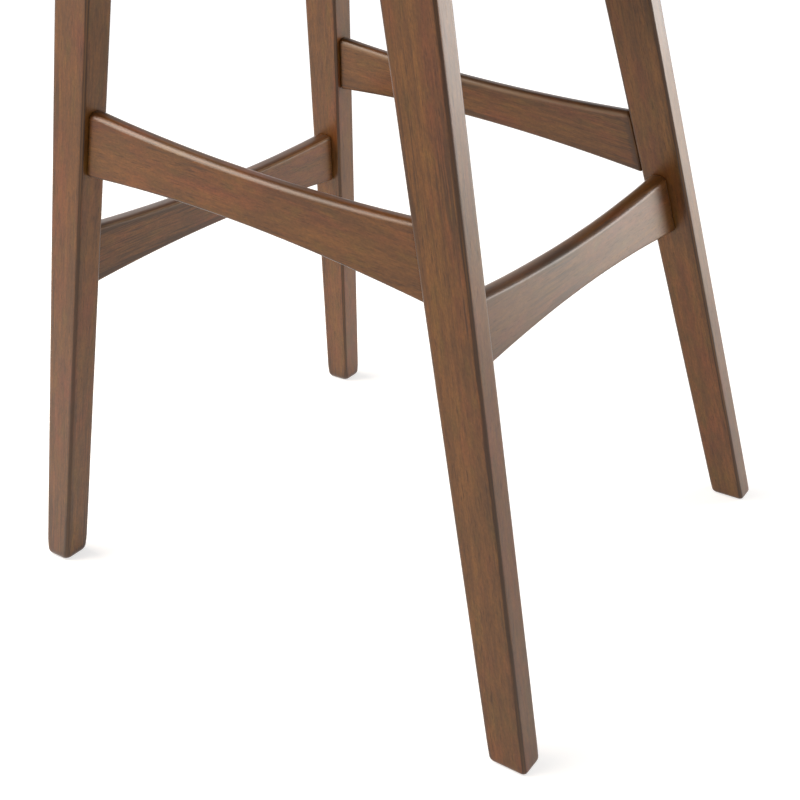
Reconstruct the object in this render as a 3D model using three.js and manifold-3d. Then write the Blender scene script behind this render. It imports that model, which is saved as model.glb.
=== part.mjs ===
// Bar stool with footrest: four splayed, tapered legs, four waisted stretchers, a top frame of
// four seat rails with corner blocks, and an upholstered low-back bucket seat bolted on top.
// Millimetres, +Z up. The sitter faces -Y; the sitter's left is +X. The origin is on the floor,
// in the middle of the footprint.
import * as THREE from 'three';
import { mergeVertices } from 'three/addons/utils/BufferGeometryUtils.js';
import Module from 'manifold-3d';

const wasm = await Module();
wasm.setup();

// ------------------------------------------------------------------ driving dimensions
const GAP = 0.3;                 // clearance between touching pieces

// leg faces: [distance from the middle at the floor, run towards the middle per mm of height]
const BACK_LEG = { yOut: [270.8, 0.2348], yIn: [237.4, 0.2574], xOut: [242.9, 0.1358], xIn: [219.1, 0.1324] };
const FRONT_LEG = { yOut: [270.6, 0.0938], yIn: [241.3, 0.1137], xOut: [242.9, 0.1322], xIn: [215.5, 0.1322] };
const LEG_ROUND = 2.5;           // rounded long edges of a leg
const LEG_FLOOR_Z = 0.8;         // wood stops here, the glide carries the last millimetre
const FOOT_ROUND = 3.0;          // eased edge around the foot

// stretchers: end heights, fall over the length, waist (how far each edge curves in)
const SIDE_STR = { top: 418.0, topFall: 33.6, topSag: 6.9, bot: 362.9, botFall: 36.1, botRise: 9.1, setback: 5.9, thick: 16.0 };
const BACK_STR = { top: 345.9, topFall: 0, topSag: 7.9, bot: 293.1, botFall: 0, botRise: 8.2, setback: 16.7, thick: 16.4 };
const FOOTREST = { top: 328.2, topFall: 0, topSag: 7.5, bot: 275.4, botFall: 0, botRise: 8.2, setback: 5.4, thick: 20.6 };
const RAIL_TOP_ROUND = 4.6;
const RAIL_BOT_ROUND = 2.0;
const RAIL_END_ROUND = 2.4;
const TENON_LEN = 17;
const TENON_THICK = 8.4;

// top frame, all cut to one plane that falls towards the back like the side stretchers
const SEAT_FALL = 0.1033;        // fall per mm towards the back (5.9 degrees)
const SEAT_Z = 694;              // height of that plane above the origin
const SEAT_RAIL_H = 54;
const SEAT_RAIL_THICK = 18;
const SEAT_RAIL_SETBACK = 4.5;
const BLOCK_TOP = 12;            // corner blocks sit this far under the rail tops
const BLOCK_H = 22;
const BLOCK_LEG = 46;            // how far a block runs along each rail

// seat, in the tilted seat frame (x across, y back, z up from the rail tops)
const SEAT_CY = -46;             // middle of the seat in front of the origin
const SEAT_A = 214;              // half width of the board
const SEAT_B = 205;              // half depth of the board
const N_BACK = 2.7;              // squareness of the rear half of the outline
const N_FRONT = 3.8;             // squareness of the front half
const DUST = [0.5, 1.5];         // dust cover, bottom and top
const LIP = 13.5;                // how far the outer fabric returns under the board
const BOARD = [1.8, 16.8];       // plywood board, bottom and top
const SHELL_THICK = 11;
const COVER_THICK = 5;
const PAD_THICK = 26;
const WALL_END = 99;             // degrees from the rear where the back ends
const RIM_BACK = 250;            // rim height over the board at the rear
const RIM_SIDE = 33;             // and at the front ends of the back
const BORDER_TOP = 46.5;         // top edge of the front border
const CUSHION_EDGE = 47;         // cushion height at its edge
const CUSHION_CROWN = 17;        // extra height in the middle

// fasteners and glides
const BOLT_R = 3, BOLT_HEAD_R = 6, BOLT_HEAD_H = 4;
const SCREW_R = 2, SCREW_HEAD_R = 4, SCREW_HEAD_H = 2.6;
const GLIDE_R = 8, GLIDE_H = 4;

// ------------------------------------------------------------------ colours
const WALNUT = { color: 0x7d5f46, roughness: 0.38, metalness: 0 };
const BEECH = { color: 0xb99a72, roughness: 0.6, metalness: 0 };
const PLY = { color: 0xc4a57c, roughness: 0.65, metalness: 0 };
const FABRIC = { color: 0xb7b1a6, roughness: 0.95, metalness: 0 };
const BLACK_FELT = { color: 0x24242a, roughness: 1.0, metalness: 0 };
const STEEL = { color: 0x9a9a9c, roughness: 0.35, metalness: 1 };
const NYLON = { color: 0x3b3430, roughness: 0.55, metalness: 0 };

const group = new THREE.Group();
const seatFrame = new THREE.Group();
const TILT = Math.atan(SEAT_FALL);
seatFrame.position.set(0, 0, SEAT_Z);
seatFrame.rotation.x = -TILT;
group.add(seatFrame);
group.updateMatrixWorld(true);

function add(name, geometry, look, parent = group) {
  const mesh = new THREE.Mesh(geometry, new THREE.MeshStandardMaterial(look));
  mesh.name = name;
  parent.add(mesh);
  return mesh;
}

// ------------------------------------------------------------------ solids
function clean(geometry) {
  let g = geometry.clone();
  g.deleteAttribute('normal');
  g.deleteAttribute('uv');
  g = mergeVertices(g, 1e-4);
  return g;
}
function solid(geometry) {
  const g = clean(geometry);
  return new wasm.Manifold(new wasm.Mesh({
    numProp: 3,
    vertProperties: new Float32Array(g.attributes.position.array),
    triVerts: new Uint32Array(g.index.array),
  }));
}
function geometryOf(manifold) {
  const m = manifold.getMesh();
  const g = new THREE.BufferGeometry();
  g.setAttribute('position', new THREE.BufferAttribute(new Float32Array(m.vertProperties), 3));
  g.setIndex(new THREE.BufferAttribute(new Uint32Array(m.triVerts), 1));
  g.computeVertexNormals();
  return g;
}

// skin over a row of matching closed outlines, capped at both ends (or joined into a ring)
function loft(rows, ring = false) {
  const n = rows[0].length;
  const pos = [];
  rows.forEach((r) => r.forEach((p) => pos.push(p.x, p.y, p.z)));
  const idx = [];
  const spans = ring ? rows.length : rows.length - 1;
  for (let i = 0; i < spans; i++) {
    const j = (i + 1) % rows.length;
    for (let k = 0; k < n; k++) {
      const a = i * n + k, b = i * n + (k + 1) % n, c = j * n + (k + 1) % n, d = j * n + k;
      idx.push(a, b, c, a, c, d);
    }
  }
  if (!ring) {
    const cap = (row, base, flip) => {
      const u = new THREE.Vector3(), v = new THREE.Vector3(), w = new THREE.Vector3(), c = new THREE.Vector3();
      row.forEach((p) => c.addScaledVector(p, 1 / n));
      for (let k = 0; k < n; k++) {
        const a = row[k], b = row[(k + 1) % n];
        w.add(new THREE.Vector3().subVectors(a, c).cross(new THREE.Vector3().subVectors(b, c)));
      }
      w.normalize();
      u.set(1, 0, 0);
      if (Math.abs(w.x) > 0.8) u.set(0, 1, 0);
      u.addScaledVector(w, -u.dot(w)).normalize();
      v.crossVectors(w, u);
      const flat = row.map((p) => new THREE.Vector2(p.dot(u), p.dot(v)));
      for (const [a, b, d] of THREE.ShapeUtils.triangulateShape(flat, [])) {
        if (flip) idx.push(base + a, base + d, base + b); else idx.push(base + a, base + b, base + d);
      }
    };
    cap(rows[0], 0, true);
    cap(rows[rows.length - 1], (rows.length - 1) * n, false);
  }
  const g = new THREE.BufferGeometry();
  g.setAttribute('position', new THREE.BufferAttribute(new Float32Array(pos), 3));
  g.setIndex(idx);
  // faces out: a negative volume means the skin is inside out
  let vol = 0;
  for (let t = 0; t < idx.length; t += 3) {
    const [a, b, c] = [idx[t], idx[t + 1], idx[t + 2]].map((q) => new THREE.Vector3(pos[3 * q], pos[3 * q + 1], pos[3 * q + 2]));
    vol += a.dot(b.clone().cross(c));
  }
  if (vol < 0) for (let t = 0; t < idx.length; t += 3) [idx[t + 1], idx[t + 2]] = [idx[t + 2], idx[t + 1]];
  g.setIndex(idx);
  g.computeVertexNormals();
  return g;
}

// rounded rectangle [lo,hi] x [lo,hi] as 2-D points; corner radii given per edge pair
function roundRect(x0, x1, y0, y1, rLow, rHigh, steps = 3) {
  const pts = [];
  const corners = [
    [x1 - rLow, y0 + rLow, rLow, -90], [x1 - rHigh, y1 - rHigh, rHigh, 0],
    [x0 + rHigh, y1 - rHigh, rHigh, 90], [x0 + rLow, y0 + rLow, rLow, 180],
  ];
  for (const [cx, cy, r, a0] of corners) {
    for (let i = 0; i <= steps; i++) {
      const a = (a0 + (90 * i) / steps) * Math.PI / 180;
      pts.push([cx + r * Math.cos(a), cy + r * Math.sin(a)]);
    }
  }
  return pts;
}
const line = ([base, run], z) => base - run * z;

// oriented box as an 8-corner solid: centre line from a to b, half sizes along h and t
function bar(a, b, h, t, hh, ht) {
  const row = (c) => [[-1, -1], [1, -1], [1, 1], [-1, 1]].map(([i, j]) =>
    c.clone().addScaledVector(h, i * hh).addScaledVector(t, j * ht));
  return loft([row(a), row(b)]);
}
// round bar from a to b
function rod(a, b, r, sides = 8) {
  const d = new THREE.Vector3().subVectors(b, a);
  const g = new THREE.CylinderGeometry(r, r, d.length(), sides, 1);
  g.applyQuaternion(new THREE.Quaternion().setFromUnitVectors(new THREE.Vector3(0, 1, 0), d.clone().normalize()));
  g.translate((a.x + b.x) / 2, (a.y + b.y) / 2, (a.z + b.z) / 2);
  return g;
}
const cutFrom = {};               // node name -> list of solids to take away
function cut(name, geometry) { (cutFrom[name] ??= []).push(geometry); }
function carve(name, geometry) {
  let m = solid(geometry);
  for (const tool of cutFrom[name] ?? []) m = m.subtract(solid(tool));
  return geometryOf(m);
}
const mirrorX = (p, s) => new THREE.Vector3(s * p.x, p.y, p.z);

// ------------------------------------------------------------------ rails
// sx, sy pick the side: sx = +1 sitter's left, sy = -1 front
const planeZ = (zf, y, k) => zf - k * y;

// point on a side rail: u from the front leg (0) to the back leg (1), t inward from its outer face
function sidePoint(sx, u, t, zf, setback, k, gap) {
  let y = 0, x = 0, z = zf;
  for (let i = 0; i < 6; i++) {
    z = planeZ(zf, y, k);
    const yf = -line(FRONT_LEG.yIn, z) + gap, yb = line(BACK_LEG.yIn, z) - gap;
    y = yf + (yb - yf) * u;
    x = line(FRONT_LEG.xOut, z) + (line(BACK_LEG.xOut, z) - line(FRONT_LEG.xOut, z)) * u - setback - t;
  }
  return new THREE.Vector3(sx * x, y, z);
}
// point on a front or back rail: u from the right leg (0) to the left leg (1), t inward from its outer face
function crossPoint(sy, u, t, zf, setback, k, gap) {
  const leg = sy < 0 ? FRONT_LEG : BACK_LEG;
  let y = 0, x = 0, z = zf;
  for (let i = 0; i < 6; i++) {
    z = planeZ(zf, y, k);
    y = sy * (line(leg.yOut, z) - setback - t);
    x = (line(leg.xIn, z) - gap) * (2 * u - 1);
  }
  return new THREE.Vector3(x, y, z);
}

function rail(name, kind, sign, spec, ends, waistSteps = 8) {
  const k = spec.fall ?? 0;
  const at = kind === 'side'
    ? (u, t, z) => sidePoint(sign, u, t, z, spec.setback, k, GAP)
    : (u, t, z) => crossPoint(sign, u, t, z, spec.setback, k, GAP);
  const top = (u) => spec.top - (spec.topFall ?? 0) * (u - 0.5) - 4 * spec.topSag * u * (1 - u);
  const bot = (u) => spec.bot - (spec.botFall ?? 0) * (u - 0.5) + 4 * spec.botRise * u * (1 - u);
  const length = at(0, 0, top(0)).distanceTo(at(1, 0, top(1)));
  const stations = [[0, RAIL_END_ROUND], [0.7 / length, RAIL_END_ROUND * 0.29], [RAIL_END_ROUND / length, 0]];
  const us = [...stations];
  for (let i = 1; i < waistSteps; i++) us.push([i / waistSteps, 0]);
  for (const [u, e] of [...stations].reverse()) us.push([1 - u, e]);
  const rt = spec.roundTop ?? RAIL_TOP_ROUND, rb = spec.roundBot ?? RAIL_BOT_ROUND;
  const rows = us.map(([u, e]) => roundRect(e, spec.thick - e, bot(u) + e, top(u) - e, rb, Math.min(rt, spec.thick / 2 - e - 0.2), 2)
    .map(([t, z]) => at(u, t, z)));
  let body = solid(loft(rows));
  for (const end of [0, 1]) {
    const tz = (top(end) + bot(end)) / 2 + (spec.tenonShift ?? 0), mid = spec.thick / 2;
    const c = at(end, mid, tz), inner = at(end === 0 ? 0.2 : 0.8, mid, tz + (kind === 'side' && !k ? -(spec.topFall ?? 0) * (end === 0 ? 0.2 : -0.2) : 0));
    const d = new THREE.Vector3().subVectors(c, inner).normalize();
    const h = new THREE.Vector3().subVectors(at(end, mid, tz + 10), at(end, mid, tz - 10));
    h.addScaledVector(d, -h.dot(d)).normalize();
    const t = new THREE.Vector3().crossVectors(h, d).normalize();
    const len = spec.tenon ?? TENON_LEN, hh = (top(end) - bot(end)) / 2 - 9, ht = (spec.tenonThick ?? TENON_THICK) / 2;
    const a = c.clone().addScaledVector(d, -8), b = c.clone().addScaledVector(d, len);
    body = body.add(solid(bar(a, b, h, t, hh, ht)));
    const b2 = c.clone().addScaledVector(d, len + 0.6);
    cut(ends[end], bar(c.clone().addScaledVector(d, -9), b2, h, t, hh + 0.35, ht + 0.35));
  }
  add(name, carve(name, geometryOf(body)), WALNUT);
}

// ------------------------------------------------------------------ seat rails, blocks and their fasteners
const SEAT_RAIL = {
  top: SEAT_Z, bot: SEAT_Z - SEAT_RAIL_H, topSag: 0, botRise: 0, fall: SEAT_FALL,
  setback: SEAT_RAIL_SETBACK, thick: SEAT_RAIL_THICK, roundTop: 1.2, roundBot: 2.0,
};
const zTop = SEAT_Z - BLOCK_TOP, zBot = SEAT_Z - BLOCK_TOP - BLOCK_H;

const SIDES = [['left', 1], ['right', -1]];
const ENDS = [['front', -1, FRONT_LEG], ['back', 1, BACK_LEG]];
const tiltUp = new THREE.Vector3(0, Math.sin(TILT), Math.cos(TILT));
const seatBolts = [];
const blockJobs = [];
for (const [endName, sy, leg] of ENDS) {
  for (const [sideName, sx] of SIDES) {
    const name = `corner_block_${endName}_${sideName}`;
    // corner of the frame at a level: inner faces of both rails, inner corner of the leg
    const level = (zf) => {
      const cr = crossPoint(sy, 0.5, SEAT_RAIL_THICK + GAP, zf, SEAT_RAIL_SETBACK, SEAT_FALL, 0);
      const z = planeZ(zf, cr.y, SEAT_FALL);
      const zl = planeZ(zf, sy * line(leg.yIn, z), SEAT_FALL);
      const lx = line(leg.xIn, zl), ly = line(leg.yIn, zl);
      const sideX = (dy) => {
        // inner face of the side rail, dy in from the leg
        const y = sy * (ly - dy);
        const zz = planeZ(zf, y, SEAT_FALL);
        const yf = -line(FRONT_LEG.yIn, zz), yb = line(BACK_LEG.yIn, zz);
        const u = (y - yf) / (yb - yf);
        return line(FRONT_LEG.xOut, zz) + (line(BACK_LEG.xOut, zz) - line(FRONT_LEG.xOut, zz)) * u - SEAT_RAIL_SETBACK - SEAT_RAIL_THICK - GAP;
      };
      const x0 = Math.min(lx, sideX(0)) - 3;
      const Y = Math.abs(cr.y);
      const P = [[x0, Y], [x0, ly - 3], [sideX(3), ly - 3], [sideX(BLOCK_LEG), ly - BLOCK_LEG], [x0 - BLOCK_LEG, Y]];
      return P.map(([x, y]) => new THREE.Vector3(sx * x, sy * y, planeZ(zf, sy * y, SEAT_FALL)));
    };
    const lo = level(zBot), hi = level(zTop);
    const body = loft([lo, hi]);
    // two screws, one square into each rail, heads sunk in from the slanted face
    const mid = (i) => lo[i].clone().add(hi[i]).multiplyScalar(0.5);
    const p0 = mid(0), p2 = mid(2), p3 = mid(3), p4 = mid(4);
    const jobs = [
      [`block_screw_${endName}_${sideName}_1`, `${endName}_seat_rail`, p0.clone().lerp(p4, 0.62), new THREE.Vector3(0, sy, 0)],
      [`block_screw_${endName}_${sideName}_2`, `side_seat_rail_${sideName}`, p2.clone().lerp(p3, 0.66), new THREE.Vector3(sx, 0, 0)],
    ];
    for (const [screwName, railName, at, dir] of jobs) {
      const tip = at.clone().addScaledVector(dir, 11), under = at.clone().addScaledVector(dir, -11);
      const headTop = under.clone().addScaledVector(dir, -SCREW_HEAD_H);
      cut(name, rod(under.clone().addScaledVector(dir, -0.2), at.clone().addScaledVector(dir, 2), SCREW_R + 0.35));
      cut(name, rod(under.clone().addScaledVector(dir, GAP), under.clone().addScaledVector(dir, -45), SCREW_HEAD_R + 0.6));
      cut(railName, rod(at.clone().addScaledVector(dir, -2), tip.clone().addScaledVector(dir, 0.6), SCREW_R + 0.35));
      blockJobs.push(() => add(screwName, fastener(headTop, dir, SCREW_R, SCREW_HEAD_R, SCREW_HEAD_H, 22 + SCREW_HEAD_H, 2.5), STEEL));
    }
    // bolt up through the block into the seat board
    const c = hi[1].clone().lerp(hi[3].clone().lerp(hi[4], 0.5), 0.42);
    seatBolts.push([endName, sideName, c.clone()]);
    cut(name, rod(c.clone().addScaledVector(tiltUp, -60), c.clone().addScaledVector(tiltUp, 20), BOLT_R + 0.5));
    blockJobs.push(() => add(name, carve(name, body), BEECH));
  }
}

// screw or bolt: head first at `start`, running along dir; rounded tip
function fastener(start, dir, r, headR, headH, total, tip) {
  const g = new THREE.LatheGeometry([
    new THREE.Vector2(0, 0), new THREE.Vector2(headR * 0.8, 0), new THREE.Vector2(headR, headH * 0.35),
    new THREE.Vector2(headR, headH), new THREE.Vector2(r, headH), new THREE.Vector2(r, total - tip),
    new THREE.Vector2(r * 0.35, total), new THREE.Vector2(0, total),
  ], 8);
  g.applyQuaternion(new THREE.Quaternion().setFromUnitVectors(new THREE.Vector3(0, 1, 0), dir.clone().normalize()));
  g.translate(start.x, start.y, start.z);
  return outward(g);
}
// a lathe keeps the order of its profile, so the faces are turned out where needed
function outward(geometry) {
  const g = clean(geometry);
  const p = g.attributes.position, ix = g.index.array;
  let vol = 0;
  const v = [new THREE.Vector3(), new THREE.Vector3(), new THREE.Vector3()];
  for (let t = 0; t < ix.length; t += 3) {
    for (let k = 0; k < 3; k++) v[k].fromBufferAttribute(p, ix[t + k]);
    vol += v[0].dot(v[1].clone().cross(v[2]));
  }
  if (vol < 0) for (let t = 0; t < ix.length; t += 3) [ix[t + 1], ix[t + 2]] = [ix[t + 2], ix[t + 1]];
  g.computeVertexNormals();
  return g;
}

// stretchers and seat rails (their tenons cut the legs)
for (const [sideName, sx] of SIDES) {
  rail(`side_stretcher_${sideName}`, 'side', sx, SIDE_STR, [`front_leg_${sideName}`, `back_leg_${sideName}`], 8);
  rail(`side_seat_rail_${sideName}`, 'side', sx, SEAT_RAIL, [`front_leg_${sideName}`, `back_leg_${sideName}`], 1);
}
rail('front_footrest', 'cross', -1, { ...FOOTREST, tenon: 15 }, ['front_leg_right', 'front_leg_left'], 8);
rail('back_stretcher', 'cross', 1, { ...BACK_STR, tenon: 13 }, ['back_leg_right', 'back_leg_left'], 8);
rail('front_seat_rail', 'cross', -1, { ...SEAT_RAIL, tenon: 15 }, ['front_leg_right', 'front_leg_left'], 1);
rail('back_seat_rail', 'cross', 1, { ...SEAT_RAIL, tenon: 13 }, ['back_leg_right', 'back_leg_left'], 1);

// ------------------------------------------------------------------ legs and glides
for (const [endName, sy, leg] of ENDS) {
  for (const [sideName, sx] of SIDES) {
    const name = `${endName}_leg_${sideName}`;
    const row = (zf, e, k) => {
      const out = [];
      const at = (fx, fy, ex, ey) => {
        let y = 0, x = 0, z = zf;
        for (let i = 0; i < 8; i++) {
          z = planeZ(zf, sy * y, k);
          const xo = line(leg.xOut, z), xi = line(leg.xIn, z), yo = line(leg.yOut, z), yi = line(leg.yIn, z);
          x = (fx ? xo : xi) + (fx ? -1 : 1) * ex;
          y = (fy ? yo : yi) + (fy ? -1 : 1) * ey;
        }
        return new THREE.Vector3(sx * x, sy * y, z);
      };
      const r = LEG_ROUND;
      // inset of each point of a quarter circle from the sharp corner, plus the eased edge e
      for (const [fx, fy, dir] of [[1, 0, 1], [1, 1, -1], [0, 1, 1], [0, 0, -1]]) {
        const quarter = [];
        for (let i = 0; i <= 3; i++) {
          const a = (i / 3) * Math.PI / 2;
          quarter.push([r * (1 - Math.sin(a)) + e, r * (1 - Math.cos(a)) + e]);
        }
        // quarter runs from touching the y face to touching the x face; reverse where the walk needs it
        const q = dir > 0 ? quarter : [...quarter].reverse();
        for (const [ex, ey] of q) out.push(at(fx, fy, ex, ey));
      }
      return out;
    };
    const rows = [
      row(LEG_FLOOR_Z, FOOT_ROUND, 0), row(LEG_FLOOR_Z + 1.2, FOOT_ROUND * 0.29, 0), row(LEG_FLOOR_Z + FOOT_ROUND, 0, 0),
      row(240, 0, 0), row(460, 0, 0), row(SEAT_Z - 0.1, 0, SEAT_FALL),
    ];
    // pocket for the glide
    const gx = sx * (line(leg.xOut, 0) + line(leg.xIn, 0)) / 2, gy = sy * (line(leg.yOut, 0) + line(leg.yIn, 0)) / 2;
    cut(name, rod(new THREE.Vector3(gx, gy, -2), new THREE.Vector3(gx, gy, GLIDE_H + 0.3), GLIDE_R + 0.35, 12));
    add(name, carve(name, loft(rows)), WALNUT);
    const glide = new THREE.LatheGeometry([
      new THREE.Vector2(0, 0), new THREE.Vector2(GLIDE_R - 0.9, 0), new THREE.Vector2(GLIDE_R, 0.8),
      new THREE.Vector2(GLIDE_R, GLIDE_H), new THREE.Vector2(0, GLIDE_H),
    ], 12);
    glide.rotateX(Math.PI / 2);
    glide.translate(gx, gy, 0);
    add(`foot_glide_${endName}_${sideName}`, outward(glide), NYLON);
  }
}
for (const job of blockJobs) job();

// ------------------------------------------------------------------ seat outline
// phi is measured from the rear of the seat, in degrees, positive towards +x
function outline(phi, inset = 0) {
  const s = Math.sin(phi * Math.PI / 180), c = Math.cos(phi * Math.PI / 180);
  const n = c >= 0 ? N_BACK : N_FRONT;
  const r = (Math.abs(c / SEAT_B) ** n + Math.abs(s / SEAT_A) ** n) ** (-1 / n);
  const x = r * s, y = r * c;
  let nx = Math.sign(x) * Math.abs(x / SEAT_A) ** (n - 1) / SEAT_A, ny = Math.sign(y) * Math.abs(y / SEAT_B) ** (n - 1) / SEAT_B;
  const l = Math.hypot(nx, ny);
  nx /= l; ny /= l;
  return { x: x - nx * inset, y: y - ny * inset + SEAT_CY, nx, ny };
}
const smooth = (a, b, v) => { const t = Math.min(1, Math.max(0, (v - a) / (b - a))); return t * t * (3 - 2 * t); };
const rim = (phi) => RIM_SIDE + (RIM_BACK - RIM_SIDE) * (1 - smooth(34, WALL_END, Math.abs(phi)));
const lean = (phi) => Math.tan((5 + 8 * Math.max(0, Math.cos(phi * Math.PI / 180)) ** 2) * Math.PI / 180) * (1 - smooth(70, WALL_END, Math.abs(phi)));
const leanOff = (phi, h) => (h > 0 && Math.abs(phi) < WALL_END ? lean(phi) * h * h / (h + 40) : 0);

// angles shared by every piece that follows the outline, so that neighbouring facets match
const GRID = 48;
function angles(from, to) {
  const out = [from];
  for (let i = -GRID; i <= 2 * GRID; i++) {
    const phi = i * 360 / GRID;
    if (phi > from + 1 && phi < to - 1) out.push(phi);
  }
  out.push(to);
  return out;
}

// curved wall between two insets from the outline, from height low to rim height + high over the board top
const LEVELS = 5;
// (a negative low is an outer cover: it hangs below the board top and turns in under the board)
function wall(from, to, inset0, inset1, low, high, top = rim, levels = LEVELS) {
  const rows = [];
  for (const phi of angles(from, to)) {
    const hs = [];
    if (low < 0) hs.push(low);
    for (let j = 0; j <= levels; j++) hs.push(top(phi) * (j / levels) ** 1.6);
    if (low > 0) hs[0] = low;
    hs[hs.length - 1] += high;
    const side = (inset) => hs.map((h, j) => {
      const p = outline(phi, typeof inset === 'function' ? inset(phi, Math.max(0, h) / top(phi)) : inset);
      const o = leanOff(phi, h);
      return new THREE.Vector3(p.x + p.nx * o, p.y + p.ny * o, BOARD[1] + h);
    });
    const outer = side(inset0), inner = side(inset1);
    if (low < 0) {
      const p = outline(phi, LIP);
      outer[0].z -= 1;
      inner.unshift(new THREE.Vector3(p.x, p.y, outer[0].z), new THREE.Vector3(p.x, p.y, outer[0].z + 1));
    }
    rows.push([...outer, ...inner.reverse()]);
  }
  return loft(rows);
}

// ------------------------------------------------------------------ seat board, dust cover, bolts and nuts
function plate(inset, z0, z1, steps = GRID) {
  const shape = new THREE.Shape();
  for (let i = 0; i < steps; i++) {
    const p = outline(-180 + 360 * i / steps, inset);
    if (i) shape.lineTo(p.x, p.y); else shape.moveTo(p.x, p.y);
  }
  shape.closePath();
  const g = new THREE.ExtrudeGeometry(shape, { depth: z1 - z0, bevelEnabled: false });
  g.translate(0, 0, z0);
  return g;
}
const toSeat = (p) => seatFrame.worldToLocal(p.clone());
const UP = new THREE.Vector3(0, 0, 1);
for (const [endName, sideName, c] of seatBolts) {
  const p = toSeat(c);
  const headZ = -BLOCK_TOP - BLOCK_H - 0.4 - BOLT_HEAD_H;
  const at = (z) => new THREE.Vector3(p.x, p.y, z);
  cut('dust_cover', rod(at(-2), at(4), BOLT_R + 0.8));
  cut('seat_board', rod(at(0), at(20), 5.6));
  cut('seat_board', rod(at(BOARD[1] - 2), at(20), 10.6));
  add(`seat_bolt_${endName}_${sideName}`, fastener(at(headZ), UP, BOLT_R, BOLT_HEAD_R, BOLT_HEAD_H, BOLT_HEAD_H + 50, 1.5), STEEL, seatFrame);
  const nut = new THREE.LatheGeometry([
    new THREE.Vector2(BOLT_R + 0.4, 5), new THREE.Vector2(4.8, 5), new THREE.Vector2(4.8, BOARD[1] - 1.7),
    new THREE.Vector2(9.4, BOARD[1] - 1.7), new THREE.Vector2(9.4, BOARD[1] - 0.3), new THREE.Vector2(BOLT_R + 0.4, BOARD[1] - 0.3),
    new THREE.Vector2(BOLT_R + 0.4, 5),
  ], 8);
  nut.rotateX(Math.PI / 2);
  nut.translate(p.x, p.y, 0);
  add(`tee_nut_${endName}_${sideName}`, outward(nut), STEEL, seatFrame);
}
// screws that hold the back shell, up through the board
for (const [i, phi] of [-72, -26, 26, 72].entries()) {
  const p = outline(phi, SHELL_THICK / 2);
  const at = (z) => new THREE.Vector3(p.x, p.y, z);
  const headZ = BOARD[0] + 0.3;
  cut('seat_board', rod(at(0), at(BOARD[0] + SCREW_HEAD_H + 0.9), SCREW_HEAD_R + 0.5));
  cut('seat_board', rod(at(0), at(20), SCREW_R + 0.35));
  cut('back_shell', rod(at(10), at(headZ + 30.6), SCREW_R + 0.35));
  add(`back_screw_${i + 1}`, fastener(at(headZ), UP, SCREW_R, SCREW_HEAD_R, SCREW_HEAD_H, 30, 2.5), STEEL, seatFrame);
}
add('dust_cover', carve('dust_cover', plate(LIP + 1, DUST[0], DUST[1])), BLACK_FELT, seatFrame);
add('seat_board', carve('seat_board', plate(0.4, BOARD[0], BOARD[1])), PLY, seatFrame);

// ------------------------------------------------------------------ back shell, pads, covers, cushion
const T = BOARD[1];
const endTaper = (phi) => smooth(WALL_END, WALL_END - 34, Math.abs(phi));
const UNDER = BOARD[0] - BOARD[1] - 0.2;
add('back_shell', carve('back_shell', wall(-WALL_END + 1.5, WALL_END - 1.5, 0.4, SHELL_THICK, 0.3, -3)), PLY, seatFrame);
add('back_cover', wall(-WALL_END, WALL_END, -COVER_THICK - 0.2, -0.2, UNDER, 0), FABRIC, seatFrame);
const padIn = (phi, v) => SHELL_THICK + 1 + (9 + (PAD_THICK - 9) * endTaper(phi)) * (0.72 + 0.28 * Math.sin(Math.PI * Math.min(1, v * 0.9 + 0.12)));
add('back_pad', wall(-WALL_END, WALL_END, SHELL_THICK + 1, padIn, 0.4, 1), FABRIC, seatFrame);
const borderTop = () => BORDER_TOP - BOARD[1];
add('front_border', wall(WALL_END + 0.4, 360 - WALL_END - 0.4, -COVER_THICK - 0.2, -0.2, UNDER, 0, borderTop, 1), FABRIC, seatFrame);

function cushion() {
  const steps = GRID, rows = [];
  const inset = (phi) => {
    const a = Math.abs(phi);
    const back = SHELL_THICK + 1 + 9 + (PAD_THICK - 9) * endTaper(phi) + 1.6;
    return back + (0.6 - back) * smooth(WALL_END + 3, WALL_END + 15, a);
  };
  // rings from the bottom up over the crown: [inset, share of the full size, height over the board]
  const edge = CUSHION_EDGE - 16;
  const rings = [[6, 1, 0.5], [0, 1, 8], [0, 1, edge - 6], [3.5, 1, edge], [12, 1, edge + 6], [14, 0.86, edge + 10.5], [14, 0.62, edge + 14.5], [14, 0.3, edge + CUSHION_CROWN]];
  for (const [extra, share, z] of rings) {
    const row = [];
    for (let i = 0; i < steps; i++) {
      const phi = -180 + 360 * i / steps;
      const p = outline(phi, inset(phi) + extra);
      row.push(new THREE.Vector3(p.x * share, (p.y - SEAT_CY) * share + SEAT_CY, T + z));
    }
    rows.push(row);
  }
  return loft(rows);
}
add('seat_cushion', cushion(), FABRIC, seatFrame);

export default group;
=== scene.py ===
import math

import bmesh
import bpy
import numpy as np
from mathutils import Matrix, Vector, noise


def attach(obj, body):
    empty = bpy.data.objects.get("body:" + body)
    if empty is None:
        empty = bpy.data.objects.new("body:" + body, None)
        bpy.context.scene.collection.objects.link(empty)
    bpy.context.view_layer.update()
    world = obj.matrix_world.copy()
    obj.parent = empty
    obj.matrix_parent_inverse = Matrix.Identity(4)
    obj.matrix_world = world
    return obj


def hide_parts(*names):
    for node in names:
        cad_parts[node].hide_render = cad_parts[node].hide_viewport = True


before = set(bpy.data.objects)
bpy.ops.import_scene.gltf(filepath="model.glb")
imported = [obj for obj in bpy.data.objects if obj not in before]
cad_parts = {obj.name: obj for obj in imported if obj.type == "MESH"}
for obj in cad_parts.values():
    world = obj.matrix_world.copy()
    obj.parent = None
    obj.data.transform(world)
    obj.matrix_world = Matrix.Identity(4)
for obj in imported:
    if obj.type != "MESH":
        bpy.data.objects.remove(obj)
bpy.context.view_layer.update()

scene = bpy.context.scene
MM = 0.001


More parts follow.
